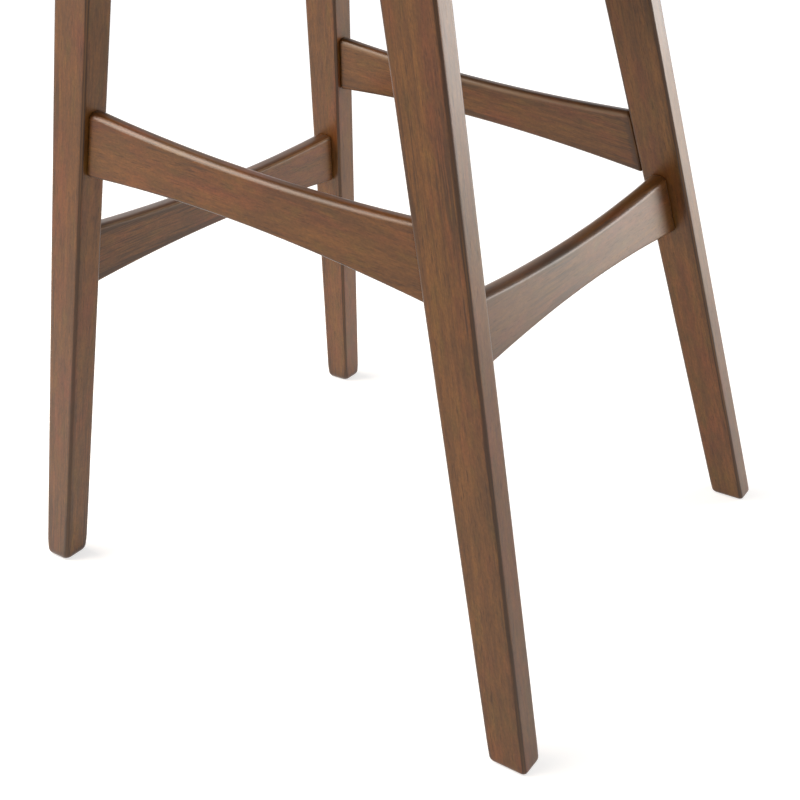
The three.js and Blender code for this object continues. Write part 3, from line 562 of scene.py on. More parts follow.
def make_leg(name, sx, sy, leg, seed):
    cx = sx * (line(leg["xOut"], 0) + line(leg["xIn"], 0)) / 2
    cy = sy * (line(leg["yOut"], 0) + line(leg["yIn"], 0)) / 2
    rows = []
    # the front feet are eased more than the back ones
    foot, soften = (FOOT_ROUND, 2.2) if sy < 0 else (0.66 * FOOT_ROUND, 0.7)
    for i in range(6):
        a = i / 5 * math.pi / 2
        rows.append((LEG_FLOOR_Z + 1.7 * foot * (1 - math.cos(a)), foot * (1 - math.sin(a)), 0.0, 0.3))
    rows += [(zf, 0.0, 0.0, 0.0) for zf in (9.0, 12.5, 18.0)]
    z = 40.0
    while z < 600:
        rows.append((z, 0.0, 0.0, 0.0))
        z += 22.0
    for f in (0.25, 0.5, 0.75, 1.0):
        rows.append((600 + (SEAT_Z - 0.1 - 600) * f, 0.0, SEAT_FALL * f, 0.0))
    verts, grain, edge = [], [], []
    for zf, e, k, near in rows:
        r = LEG_ROUND * (1 + 0.10 * wobble(zf * 0.018, seed * 5.3)) + soften * (1 - smooth(2.0, 17.0, zf))
        arcs = []
        for fx, fy, way in ((1, 0, 1), (1, 1, -1), (0, 1, 1), (0, 0, -1)):
            arc = [(r * (1 - math.sin(a)) + e, r * (1 - math.cos(a)) + e) for a in (i / ARC * math.pi / 2 for i in range(ARC + 1))]
            arcs.append((fx, fy, arc if way > 0 else arc[::-1]))

        def place(fx, fy, ex, ey):
            y = 0.0
            for _ in range(8):
                zz = zf - k * sy * y
                x = line(leg["xOut"], zz) - ex if fx else line(leg["xIn"], zz) + ex
                y = line(leg["yOut"], zz) - ey if fy else line(leg["yIn"], zz) + ey
            return (x, y, zz)
        pts = [[place(fx, fy, ex, ey) for ex, ey in arc] for fx, fy, arc in arcs]
        xm = (line(leg["xOut"], zf) + line(leg["xIn"], zf)) / 2
        ym = (line(leg["yOut"], zf) + line(leg["yIn"], zf)) / 2
        n = len(pts)
        for i in range(n):
            run = [(p, edge_weight(j, len(pts[i]))) for j, p in enumerate(pts[i])]
            a, b = pts[i][-1], pts[(i + 1) % n][0]
            length = math.dist(a, b)
            # the stain has pooled on the side faces along their outer edge
            d0, m0 = (0.43, 0.20) if i == 2 else (0.16, 0.0)
            d1, m1 = (0.43, 0.20) if i == 0 else (0.16, 0.0)
            fit = min(1.0, (length / 2 - 0.3) / 8.5)
            for d, ed in ((1.6 * fit, d0), (4.8 * fit, m0), (8.5 * fit, 0.0), (length - 8.5 * fit, 0.0), (length - 4.8 * fit, m1), (length - 1.6 * fit, d1)):
                f = d / length
                run.append((tuple(a[c] + (b[c] - a[c]) * f for c in range(3)), ed))
            for p, ed in run:
                verts.append((sx * p[0] * MM, sy * p[1] * MM, p[2] * MM))
                grain.append(((p[0] - xm + seed * 41.0 + 0.015 * zf) * MM, (p[1] - ym + seed * 67.0) * MM, (p[2] + seed * 457.0) * MM))
                edge.append(max(ed, near))
    cols = len(verts) // len(rows)
    faces = loft_faces(len(rows), cols)
    # underside with the glide's pocket
    base = len(verts)
    ring = []
    for lvl, rad in ((LEG_FLOOR_Z, 8.35), (4.3, 8.35)):
        for i in range(cols):
            v = verts[i]
            a = math.atan2(v[1] / MM - cy, v[0] / MM - cx)
            verts.append(((cx + rad * math.cos(a)) * MM, (cy + rad * math.sin(a)) * MM, lvl * MM))
            grain.append(((rad * math.cos(a) + seed * 41.0) * MM, (rad * math.sin(a) + seed * 67.0) * MM, (lvl + seed * 457.0) * MM))
            edge.append(0.0)
    for i in range(cols):
        j = (i + 1) % cols
        faces.append((j, i, base + i, base + j))
        faces.append((base + j, base + i, base + cols + i, base + cols + j))
    faces.append(tuple(base + cols + i for i in range(cols - 1, -1, -1)))
    faces.append(tuple((len(rows) - 1) * cols + i for i in range(cols)))
    ob = finish_mesh(name + "_wood", verts, faces, {"grain": ("FLOAT_VECTOR", grain), "edge": ("FLOAT", edge)}, angle=50)
    return done(ob, WALNUT, "walnut", name)


seed = 1
for end, sy, leg in (("front", -1, FRONT_LEG), ("back", 1, BACK_LEG)):
    for side, sx in (("left", 1), ("right", -1)):
        make_leg(f"{end}_leg_{side}", sx, sy, leg, seed)
        seed += 1
for side, sx in (("left", 1), ("right", -1)):
    make_rail(f"side_stretcher_{side}", "side", sx, SIDE_STR, seed)
    make_rail(f"side_seat_rail_{side}", "side", sx, SEAT_RAIL, seed + 1, 12)
    seed += 2
make_rail("front_footrest", "cross", -1, FOOTREST, seed)
make_rail("back_stretcher", "cross", 1, BACK_STR, seed + 1)
make_rail("front_seat_rail", "cross", -1, SEAT_RAIL, seed + 2, 12)
make_rail("back_seat_rail", "cross", 1, SEAT_RAIL, seed + 3, 12)

# the frame's own blocks, fasteners and glides keep their shape and get a finish
for node_name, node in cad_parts.items():
    if node_name.startswith("corner_block"):
        set_material(node, BLOCK)
    elif node_name.startswith(("block_screw", "seat_bolt", "tee_nut", "back_screw")):
        set_material(node, STEEL)
    elif node_name.startswith("foot_glide"):
        set_material(node, NYLON)
    elif node_name in ("seat_board", "back_shell"):
        set_material(node, PLY)

# =====================================================================================
# upholstery: seat outline and the curves that every soft piece follows (millimetres, seat frame)
# =====================================================================================
TILT = math.atan(SEAT_FALL)
CT, ST = math.cos(TILT), math.sin(TILT)
SEAT_CY, SEAT_A, SEAT_B, N_BACK, N_FRONT = -46.0, 214.0, 205.0, 2.7, 3.8
T = 16.8                                   # top of the board
SHELL, PAD, WALL_END = 11.0, 26.0, 99.0
RIM_BACK, RIM_SIDE, BORDER = 250.0, 33.0, 29.7
UP = Vector((0, ST, CT))                   # square to the seat board, in the row frame


def to_row(x, y, z):
    return (x * MM, (y * CT + z * ST) * MM, (SEAT_Z - y * ST + z * CT) * MM)


def outline(phi, inset=0.0):
    s, c = math.sin(math.radians(phi)), math.cos(math.radians(phi))
    n = N_BACK if c >= 0 else N_FRONT
    r = (abs(c / SEAT_B) ** n + abs(s / SEAT_A) ** n) ** (-1 / n)
    x, y = r * s, r * c
    nx = math.copysign(abs(x / SEAT_A) ** (n - 1) / SEAT_A, x)
    ny = math.copysign(abs(y / SEAT_B) ** (n - 1) / SEAT_B, y)
    l = math.hypot(nx, ny)
    nx, ny = nx / l, ny / l
    return x - nx * inset, y - ny * inset + SEAT_CY, nx, ny


def rim(phi):
    return RIM_SIDE + (RIM_BACK - RIM_SIDE) * (1 - smooth(34, WALL_END, abs(phi)))


def lean_off(phi, h):
    if h <= 0 or abs(phi) >= WALL_END:
        return 0.0
    a = math.tan(math.radians(5 + 8 * max(0.0, math.cos(math.radians(phi))) ** 2)) * (1 - smooth(70, WALL_END, abs(phi)))
    return a * h * h / (h + 40)


def end_taper(phi):
    return 1 - smooth(WALL_END - 34, WALL_END, abs(phi))


def at(phi, inset, h, out=0.0):
    """A point by angle from the rear, inset from the outline, height over the board."""
    x, y, nx, ny = outline(phi, inset)
    o = lean_off(phi, h) + out
    return to_row(x + nx * o, y + ny * o, T + h)


_ph = np.arange(-180.0, 540.01, 0.25)
_xy = np.array([outline(p, -3.0)[:2] for p in _ph])
_arc = np.concatenate([[0.0], np.cumsum(np.hypot(*np.diff(_xy, axis=0).T))])
_arc -= np.interp(0.0, _ph, _arc)


def arc(phi):
    return float(np.interp(phi, _ph, _arc))


def phi_steps(a, b, step):
    """Angles from a to b that are about step mm apart along the outline."""
    n = max(4, int(round((arc(b) - arc(a)) / step)))
    target = np.linspace(arc(a), arc(b), n + 1)
    return [float(v) for v in np.interp(target, _arc, _ph)]


def seam_steps(phis, seams, near=(0.0, 1.0, 2.0, 3.4, 5.2)):
    """Adds columns close to each seam so that its groove has its real width."""
    run = [arc(p) for p in phis]
    for seam in seams:
        c = arc(seam)
        run = [r for r in run if abs(r - c) > max(near) + 0.8]
        run += [c + k * d for d in near for k in ((1, -1) if d else (1,))]
    return [float(v) for v in np.interp(sorted(run), _arc, _ph)]


def pad_thick(phi):
    """The pad thins to a few millimetres where it runs into the front border."""
    return 3.2 + 5.8 * (1 - smooth(82, WALL_END, abs(phi))) + (PAD - 9) * end_taper(phi)


def cushion_inset(phi):
    a = abs(phi)
    back = SHELL + 1 + pad_thick(phi) + 1.2
    return back + (0.6 - back) * smooth(WALL_END - 1, WALL_END + 8, a)


def pad_front(phi, v):
    """Inset of the pad's inner face, v from 0 at the board to 1 at the rim."""
    return SHELL + 1 + pad_thick(phi) * (0.72 + 0.28 * math.sin(math.pi * min(1.0, v * 0.9 + 0.12)))


def sweep(name, phis, profile, ring=False, angle=40.0):
    """Closed profile (list of (inset, h, cloth length, outward push)) swept along the outline."""
    verts, weave = [], []
    for phi in phis:
        s = arc(phi)
        for inset, h, t, out in profile(phi):
            verts.append(at(phi, inset, h, out))
            weave.append((s * MM, t * MM, 0.0))
    cols = len(verts) // len(phis)
    faces = loft_faces(len(phis), cols, ring_rows=ring)
    if not ring:
        faces.append(tuple(range(cols - 1, -1, -1)))
        faces.append(tuple((len(phis) - 1) * cols + i for i in range(cols)))
    return finish_mesh(name, verts, faces, {"weave": ("FLOAT_VECTOR", weave)}, angle=angle)


def swell(ob, pin, pressure, cap, frames=20, tension=18.0, bend=0.6, mass=0.25, shrink=0.0):
    """Cloth under pressure, held where pin is 1; the result goes back into the mesh with each point's move capped."""
    start = np.array([v.co for v in ob.data.vertices])
    vg = ob.vertex_groups.new(name="pin")
    for w in sorted(set(round(float(p), 2) for p in pin)):
        if w > 0:
            vg.add([i for i, p in enumerate(pin) if round(float(p), 2) == w], w, "REPLACE")
    mod = ob.modifiers.new("Cloth", "CLOTH")
    st = mod.settings
    st.quality, st.mass, st.air_damping = 7, mass, 2.0
    st.tension_stiffness, st.compression_stiffness, st.shear_stiffness = tension, tension, tension * 0.4
    st.bending_stiffness = bend
    st.tension_damping = st.compression_damping = 8.0
    st.shear_damping = 6.0
    st.use_pressure, st.uniform_pressure_force = True, pressure
    st.vertex_group_mass = "pin"
    st.pin_stiffness = 1.0
    if shrink:
        st.shrink_min = shrink
    st.effector_weights.gravity = 0.0
    mod.collision_settings.use_collision = False
    mod.collision_settings.use_self_collision = False
    mod.point_cache.frame_start, mod.point_cache.frame_end = 1, frames
    scene.frame_start, scene.frame_end = 1, frames
    for f in range(1, frames + 1):
        scene.frame_set(f)
    ev = ob.evaluated_get(bpy.context.evaluated_depsgraph_get())
    moved = np.array([v.co for v in ev.data.vertices])
    ob.modifiers.remove(mod)
    ob.vertex_groups.remove(vg)
    scene.frame_set(1)
    d = moved - start
    length = np.linalg.norm(d, axis=1)
    print("SWELL", ob.name, "max move mm", round(1000 * float(length.max()), 1), "mean", round(1000 * float(length.mean()), 1))
    keep = cap * np.tanh(length / cap) / np.maximum(length, 1e-9)
    ob.data.vertices.foreach_set("co", (start + d * keep[:, None]).ravel())
    ob.data.update()


def push(ob, amount):
    """Moves each point along its normal by amount(i, co) metres."""
    me = ob.data
    n = np.array([v.normal for v in me.vertices])
    co = np.array([v.co for v in me.vertices])
    a = np.array([amount(i, co[i]) for i in range(len(co))])
    me.vertices.foreach_set("co", (co + n * a[:, None]).ravel())
    me.update()


def subdivide(ob, levels=1):
    m = ob.modifiers.new("Subdivision", "SUBSURF")
    m.levels = m.render_levels = levels
    apply_modifiers(ob)
    ob.data.polygons.foreach_set("use_smooth", [True] * len(ob.data.polygons))


def tube(name, path, radius, closed=False, sides=12, lumps=0.04, seed=0.0):
    """Round welt along a path (row frame, metres); the cloth is cut on the bias."""
    p = np.array(path, float)
    n = len(p)
    if closed:
        tan = np.roll(p, -1, 0) - np.roll(p, 1, 0)
    else:
        tan = np.gradient(p, axis=0)
    tan /= np.linalg.norm(tan, axis=1)[:, None]
    up = np.array(UP)
    side = np.cross(tan, up)
    side /= np.linalg.norm(side, axis=1)[:, None]
    top = np.cross(side, tan)
    run = np.concatenate([[0], np.cumsum(np.linalg.norm(np.diff(p, axis=0), axis=1))])
    verts, weave = [], []
    for i in range(n):
        for k in range(sides):
            a = 2 * math.pi * k / sides
            r = radius * (1 + lumps * wobble(run[i] * 160 + seed, math.cos(a) * 1.3, math.sin(a) * 1.3))
            verts.append(p[i] + side[i] * r * math.cos(a) + top[i] * r * math.sin(a))
            around = radius * a
            weave.append(((run[i] + around) * 0.7071 + seed, (run[i] - around) * 0.7071, 0.0))
    faces = loft_faces(n, sides, ring_rows=closed)
    if not closed:
        faces.append(tuple(range(sides - 1, -1, -1)))
        faces.append(tuple((n - 1) * sides + i for i in range(sides)))
    return finish_mesh(name, verts, faces, {"weave": ("FLOAT_VECTOR", weave)}, angle=60)


def stitches(name, rows, pitch=0.0044, length=0.0031, radius=0.00036):
    """Each row is (points, outward directions); one small rounded thread loop per stitch."""
    verts, faces = [], []
    shape = [(-0.5, 0.15), (-0.4, 0.8), (0.0, 1.0), (0.4, 0.8), (0.5, 0.15)]
    for pts, outs in rows:
        p, o = np.array(pts, float), np.array(outs, float)
        run = np.concatenate([[0], np.cumsum(np.linalg.norm(np.diff(p, axis=0), axis=1))])
        for k in range(int(run[-1] / pitch)):
            mid = (k + 0.5) * pitch
            c = np.array([np.interp(mid, run, p[:, j]) for j in range(3)])
            a = np.array([np.interp(mid - length / 2, run, p[:, j]) for j in range(3)])
            b = np.array([np.interp(mid + length / 2, run, p[:, j]) for j in range(3)])
            out = np.array([np.interp(mid, run, o[:, j]) for j in range(3)])
            d = b - a
            d /= np.linalg.norm(d)
            out -= d * out.dot(d)
            out /= np.linalg.norm(out)
            w = np.cross(d, out)
            base = len(verts)
            for f, r in shape:
                lift = radius * (0.3 if abs(f) < 0.45 else -0.6)
                for j in range(6):
                    t = 2 * math.pi * j / 6
                    verts.append(c + d * length * f + out * (lift + radius * r * math.sin(t)) + w * radius * r * math.cos(t))
            for i in range(len(shape) - 1):
                for j in range(6):
                    q = (j + 1) % 6
                    faces.append((base + i * 6 + j, base + i * 6 + q, base + (i + 1) * 6 + q, base + (i + 1) * 6 + j))
            faces.append(tuple(base + j for j in range(5, -1, -1)))
            faces.append(tuple(base + (len(shape) - 1) * 6 + j for j in range(6)))
    return finish_mesh(name, verts, faces, angle=None)


# ------------------------------------------------------------------ outer cover of the back
COVER_SEAMS = (-56.0, 56.0)


def seam_dip(s, seams, h, depth=1.9, pillow=0.7):
    """How far the cloth stands in or out of its plain surface near the seams, in mm."""
    out = 0.0
    for phi in seams:
        d = s - arc(phi)
        out += -depth * bell(d, 1.35) + pillow * bell(abs(d) - 8, 5.5)
        out += 0.45 * wobble(d / 9 + phi, h / 13.0) * bell(d, 16)
    return out


def cover_profile(phi, top, seams, inner=-0.2, outer=-5.2, rows=26, bulge=1.4):
    s = arc(phi)
    low = -16.2
    pts = [(13.5, low + 1.0, 0.0), (13.5, low, 1.0)]
    pts += [(13.5 + (outer + 3.4 - 13.5) * f, low, 1 + 15 * f) for f in (0.3, 0.62, 1.0)]
    for i in range(1, 6):
        a = i / 5 * math.pi / 2
        pts.append((outer + 3.4 - 3.4 * math.sin(a), low + 3.4 - 3.4 * math.cos(a), 16 + i * 1.07))
    base, crest = low + 3.4, top - 2.4
    for i in range(1, rows + 1):
        h = base + (crest - base) * i / rows
        pts.append((outer, h, 21.3 + (h - base)))
    t0 = 21.3 + crest - base
    for i in range(1, 6):
        a = i / 6 * math.pi
        pts.append(((outer + inner) / 2 + (inner - outer) / 2 * -math.cos(a), crest + 2.4 * math.sin(a), t0 + i * (1.4 + 0.15 * (inner + 0.2))))
    t1 = t0 + 8.4 + 0.9 * (inner + 0.2)
    for f in (0.0, 0.35, 0.7, 1.0):
        pts.append((inner, crest + (0.7 - crest) * f, t1 + crest * f))
    pts.append((-0.2, 0.2, t1 + crest + 1 + (inner + 0.2)))
    pts.append((-0.2, low + 1.0, t1 + crest + 17 + (inner + 0.2)))
    out = []
    for inset, h, t in pts:
        push_out = 0.0
        if inset < outer + 1.5:
            v = (h - low) / (top - low)
            edge = smooth(0.0, 0.10, v) * smooth(0.0, 0.08, 1 - v)
            push_out = edge * (bulge * math.sin(math.pi * min(1, max(0, v))) + seam_dip(s, seams, h))
            push_out += 0.30 * wobble(s / 37.0, h / 55.0, 4.0) * edge
            # small gathers above the fold where the cloth is pulled under the board
            push_out += 0.35 * wobble(s / 8.0, 1.7) * bell(h - low - 9, 8)
        out.append((inset, h, t, push_out))
    return out


cover_phis = sorted(seam_steps(phi_steps(-WALL_END, WALL_END, 3.0), COVER_SEAMS) + [-WALL_END + 0.7, WALL_END - 0.7])
# the turned-in ends are thicker and close the corner at the pad's rounded end
cover = sweep("back_cover_cloth", cover_phis, lambda phi: cover_profile(phi, rim(phi), COVER_SEAMS, inner=2.0 if abs(phi) > WALL_END - 0.1 else -0.2))
done(cover, FABRIC, "upholstery", "back_cover")

# ------------------------------------------------------------------ front border
BORDER_SEAMS = ()


def border_inner(phi):
    """The border thickens at both ends and fills the corner between the pad's end and the cushion."""
    p = (phi + 180) % 360 - 180
    return max(-0.2, cushion_inset(p) - 1.0)


border = sweep("front_border_cloth", phi_steps(WALL_END + 0.15, 360 - WALL_END - 0.15, 3.0),
               lambda phi: cover_profile(phi, BORDER, BORDER_SEAMS, inner=border_inner(phi), rows=12, bulge=1.1))
done(border, FABRIC, "upholstery", "front_border")

# ------------------------------------------------------------------ inner pad of the back
PAD_SEAMS = (-50.0, 50.0)
PAD_IN, PAD_TOP = 20, 9


def pad_profile(phi):
    """From the foot of the pad's back, up, over the shell's edge, over the roll and down its face.
    Fourth value marks how firmly the point is held: 1 sewn or backed, 0 free."""
    top = rim(phi)
    k = end_taper(phi)
    pts = []
    for f in (0.0, 0.5, 1.0):
        pts.append((12.3, 0.6 + (top - 2.3 - 0.6) * f, 1.0))
    pts += [(6.0, top - 2.2, 1.0), (0.2, top - 2.2, 1.0), (-0.1, top - 0.6, 1.0), (0.3, top + 1.2, 1.0)]
    face = pad_front(phi, 1.0) - 2.5 * k
    rise = 3.0 + 3.5 * k
    for i in range(1, PAD_TOP + 1):
        pts.append((0.3 + (face - 0.3) * (i / (PAD_TOP + 1)),
                    top + 1.2 + rise * math.sin(math.pi * 0.5 * min(1, 1.7 * i / (PAD_TOP + 1))) - (rise + 3.0) * smooth(0.62, 1.0, i / (PAD_TOP + 1)) * 0.9, 0.0))
    for i in range(PAD_IN + 1):
        f = i / PAD_IN
        h = (top - 3.2) * (1 - f) + 0.6 * f
        inset = pad_front(phi, h / top) - 3.6 * k * (0.4 + 0.6 * math.sin(math.pi * f)) - 1.0
        pts.append((inset, h, 1.0 if i >= PAD_IN - 1 else 0.0))
    return pts


def make_pad():
    phis = seam_steps(phi_steps(-WALL_END, WALL_END, 5.0), PAD_SEAMS, (0.0, 2.0, 4.6))
    inner = np.array([outline(p, SHELL + 1 + pad_thick(p))[:2] for p in phis])
    inner_run = np.concatenate([[0.0], np.cumsum(np.hypot(*np.diff(inner, axis=0).T))])
    verts, weave, pin, place = [], [], [], []
    for n, phi in enumerate(phis):
        s = arc(phi)
        near = min(abs(s - arc(p)) for p in PAD_SEAMS)
        prof = pad_profile(phi)
        cut = np.concatenate([[0.0], np.cumsum([math.hypot(b[0] - a[0], b[1] - a[1]) for a, b in zip(prof, prof[1:])])])
        for (inset, h, hold), c in zip(prof, cut):
            verts.append(at(phi, inset, h))
            # the cut cloth is measured up from the foot of the inner face, so its rows run level
            weave.append((inner_run[n] * MM, (cut[-1] - c) * MM, 0.0))
            place.append(s)
            sewn = 1.0 if near < 2.6 else 0.0
            end = 1.0 if n < 2 or n > len(phis) - 3 else 0.0
            pin.append(max(hold, sewn, end))
    cols = len(verts) // len(phis)
    faces = loft_faces(len(phis), cols)
    faces.append(tuple(range(cols - 1, -1, -1)))
    faces.append(tuple((len(phis) - 1) * cols + i for i in range(cols)))
    ob = finish_mesh("back_pad_cloth", verts, faces, {"weave": ("FLOAT_VECTOR", weave)}, angle=None)
    swell(ob, pin, 9.0, 0.006, frames=18, tension=14.0, bend=0.5)
    groove = [sum(-1.9 * bell(s - arc(p), 2.2) for p in PAD_SEAMS) for s in place]
    free = [pad_profile(phis[0])[c][2] < 0.5 for c in range(cols)]
    push(ob, lambda i, co: MM * (groove[i] + 0.35 * wobble(weave[i][0] * 60, weave[i][1] * 35, 2.0)) if free[i % cols] else 0.0)
    subdivide(ob)
    return ob


pad = make_pad()
done(pad, FABRIC, "upholstery", "back_pad")


# ------------------------------------------------------------------ seat cushion
def make_cushion(n=60):
    def square_to_phi(a, b):
        if abs(a) >= abs(b):
            th = 45.0 * b / a if a else 0.0
            th = th if a > 0 else 180.0 + th
        else:
            th = 90.0 - 45.0 * a / b
            th = th if b > 0 else 180.0 + th
        phi = 90.0 - th
        return (phi + 180) % 360 - 180

    def rim_point(phi, extra):
        x, y, _, _ = outline(phi, cushion_inset(phi) + extra)
        return x, y

    verts, faces, tags, pin, info = [], [], [], [], []
    index = {}

    def panel(top):
        for i in range(n + 1):
            for j in range(n + 1):
                a, b = -1 + 2 * i / n, -1 + 2 * j / n
                r = max(abs(a), abs(b))
                phi = square_to_phi(a, b) if r > 0 else 0.0
                bx, by = rim_point(phi, 2.4)
                x, y = bx * r, (by - SEAT_CY) * r + SEAT_CY
                if top:
                    h = 32.0 + 7.5 * (1 - r ** 2.2)
                else:
                    h = 0.6
                key = (top, i, j)
                index[key] = len(verts)
                verts.append(to_row(x, y, T + h))
                pin.append((0.55 if r == 1 else 0.0) if top else 1.0)
                info.append((r, phi, x, y, h))
    panel(True)
    panel(False)
    for i in range(n):
        for j in range(n):
            for top in (True, False):
                q = [index[(top, i, j)], index[(top, i + 1, j)], index[(top, i + 1, j + 1)], index[(top, i, j + 1)]]
                faces.append(tuple(q if top else q[::-1]))
                tags.append("top" if top else "bottom")
    ring = [(i, 0) for i in range(n)] + [(n, j) for j in range(n)] + [(i, n) for i in range(n, 0, -1)] + [(0, j) for j in range(n, 0, -1)]
    levels = [3.0, 9.0, 15.0, 21.0, 27.0]
    layers = [[index[(False, i, j)] for i, j in ring]]
    for h in levels:
        row = []
        for i, j in ring:
            a, b = -1 + 2 * i / n, -1 + 2 * j / n
            phi = square_to_phi(a, b)
            belly = 2.4 - 2.2 * math.sin(math.pi * min(1, max(0, h / 32.0)))
            x, y = rim_point(phi, belly)
            row.append(len(verts))
            verts.append(to_row(x, y, T + h))
            pin.append(0.35)
            info.append((1.0, phi, x, y, h))
        layers.append(row)
    layers.append([index[(True, i, j)] for i, j in ring])
    m = len(ring)
    for k in range(len(layers) - 1):
        for i in range(m):
            q = (i + 1) % m
            faces.append((layers[k][i], layers[k][q], layers[k + 1][q], layers[k + 1][i]))
            tags.append("side")
    ob = finish_mesh("seat_cushion_cloth", verts, faces, angle=None, flip=False)
    # cut coordinates per face corner, so that the top panel and the band keep their own cloth
    me = ob.data
    att = me.attributes.new("weave", "FLOAT_VECTOR", "CORNER")
    vals = np.zeros((len(me.loops), 3), np.float32)
    for f, tag in zip(me.polygons, tags):
        for li in f.loop_indices:
            r, phi, x, y, h = info[me.loops[li].vertex_index]
            if tag == "side":
                s = arc(phi)
                vals[li] = (s * MM, h * MM, 0)
            else:
                vals[li] = (x * MM + (0.9 if tag == "top" else 2.0), y * MM, 0)
        if tag == "side":
            ls = list(f.loop_indices)
            ss = [vals[l][0] for l in ls]
            if max(ss) - min(ss) > 0.5:
                for l in ls:
                    if vals[l][0] < 0:
                        vals[l][0] += float((_arc[-1] - _arc[0]) / 2) * MM
    att.data.foreach_set("vector", vals.ravel())
    # faces out
    bm = bmesh.new()
    bm.from_mesh(me)
    bmesh.ops.recalc_face_normals(bm, faces=bm.faces)
    bm.to_mesh(me)
    bm.free()
    swell(ob, pin, 7.0, 0.024, frames=20, tension=16.0, bend=0.8)

    def gather(i, co):
        r, phi, x, y, h = info[i]
        if h < 1.0:
            return 0.0
        near = (1 - r) * 190.0 if h > 31 else (32 - h)
        pucker = 0.55 * wobble(arc(phi) / 9.0, near / 26.0, 3.3) * math.exp(-near / 22.0)
        slow = 0.7 * wobble(x / 70.0, y / 70.0, 8.0) * smooth(0, 30, near)
        return (pucker + slow) * MM
    push(ob, gather)
    seam = [layers[-1][i] for i in range(m)]
    seam_pts = np.array([me.vertices[v].co for v in seam])
    side_pts = np.array([me.vertices[layers[-3][i]].co for i in range(m)])
    subdivide(ob)
    return ob, seam_pts, side_pts


cushion, seam_pts, side_pts = make_cushion()
done(cushion, FABRIC, "upholstery", "seat_cushion")

# ------------------------------------------------------------------ welts and topstitching
def smooth_ring(p, times=2):
    for _ in range(times):
        p = 0.25 * np.roll(p, 1, 0) + 0.5 * p + 0.25 * np.roll(p, -1, 0)
    return p


def resample(p, step, closed=True):
    q = np.vstack([p, p[:1]]) if closed else p
    run = np.concatenate([[0], np.cumsum(np.linalg.norm(np.diff(q, axis=0), axis=1))])
    n = int(run[-1] / step)
    t = np.linspace(0, run[-1], n, endpoint=not closed)
    return np.array([[np.interp(v, run, q[:, j]) for j in range(3)] for v in t])


centre = np.array(to_row(0, SEAT_CY, T + 30))
seam_line = resample(smooth_ring(seam_pts, 3), 0.003)
outward = seam_line - centre
outward -= np.outer(outward @ np.array(UP), np.array(UP))
outward /= np.linalg.norm(outward, axis=1)[:, None]
cushion_welt = tube("seat_cushion_welt", seam_line + outward * 0.0006 + np.array(UP) * 0.0004, 0.0024, closed=True, seed=3.0)
done(cushion_welt, PIPING, "upholstery")


def welt_h(phi):
    p = (phi + 180) % 360 - 180
    a = abs(p)
    return (rim(p) + 0.9) * (1 - smooth(95, 103, a)) + (BORDER + 1.2) * smooth(95, 103, a)


ring_phis = phi_steps(-180, 180, 3.0)[:-1]
rim_path = []
for phi in ring_phis:
    h = welt_h(phi)
    rim_path.append(at(phi, -2.9, h, 0.0 if abs(phi) < WALL_END else 0.0))
rim_path = smooth_ring(np.array(rim_path), 4)
rim_welt = tube("rim_welt", rim_path, 0.0027, closed=True, seed=11.0)
done(rim_welt, PIPING, "upholstery")

rows = []
for side in (1, -1):
    for off in (-4.2, 4.2):
        pts, outs = [], []
        s = arc(56.0) + off
        phi = float(np.interp(s, _arc, _ph)) * side
        top = rim(phi)
        prof = [q for q in cover_profile(phi, top, COVER_SEAMS) if q[0] < -5.1 and -11 < q[1] < top - 5]
        for inset, h, t, out in prof:
            pts.append(at(phi, inset, h, out + 0.32))
            x, y, nx, ny = outline(phi, 0)
            outs.append((nx, ny * CT, -ny * ST))
        rows.append((pts, outs))
# one row under the rim welt, all the way round
pts, outs = [], []
for phi in phi_steps(-180, 180, 3.0):
    top = welt_h(phi) - 0.9
    h = top - 7.5
    p = (phi + 180) % 360 - 180
    full = rim(p) if abs(p) < WALL_END else BORDER
    s = arc(p if abs(p) < WALL_END else phi)
    v = (h + 16.2) / (full + 16.2)
    edge = smooth(0.0, 0.10, v) * smooth(0.0, 0.08, 1 - v)
    bulge = (1.4 if abs(p) < WALL_END else 1.1)
    out = edge * (bulge * math.sin(math.pi * v) + (seam_dip(s, COVER_SEAMS, h) if abs(p) < WALL_END else 0)) + 0.25
    pts.append(at(p, -5.2, h, out))
    x, y, nx, ny = outline(p, 0)
    outs.append((nx, ny * CT, -ny * ST))
rows.append((pts, outs))
thread = stitches("cover_topstitching", rows)
done(thread, THREAD, "upholstery")


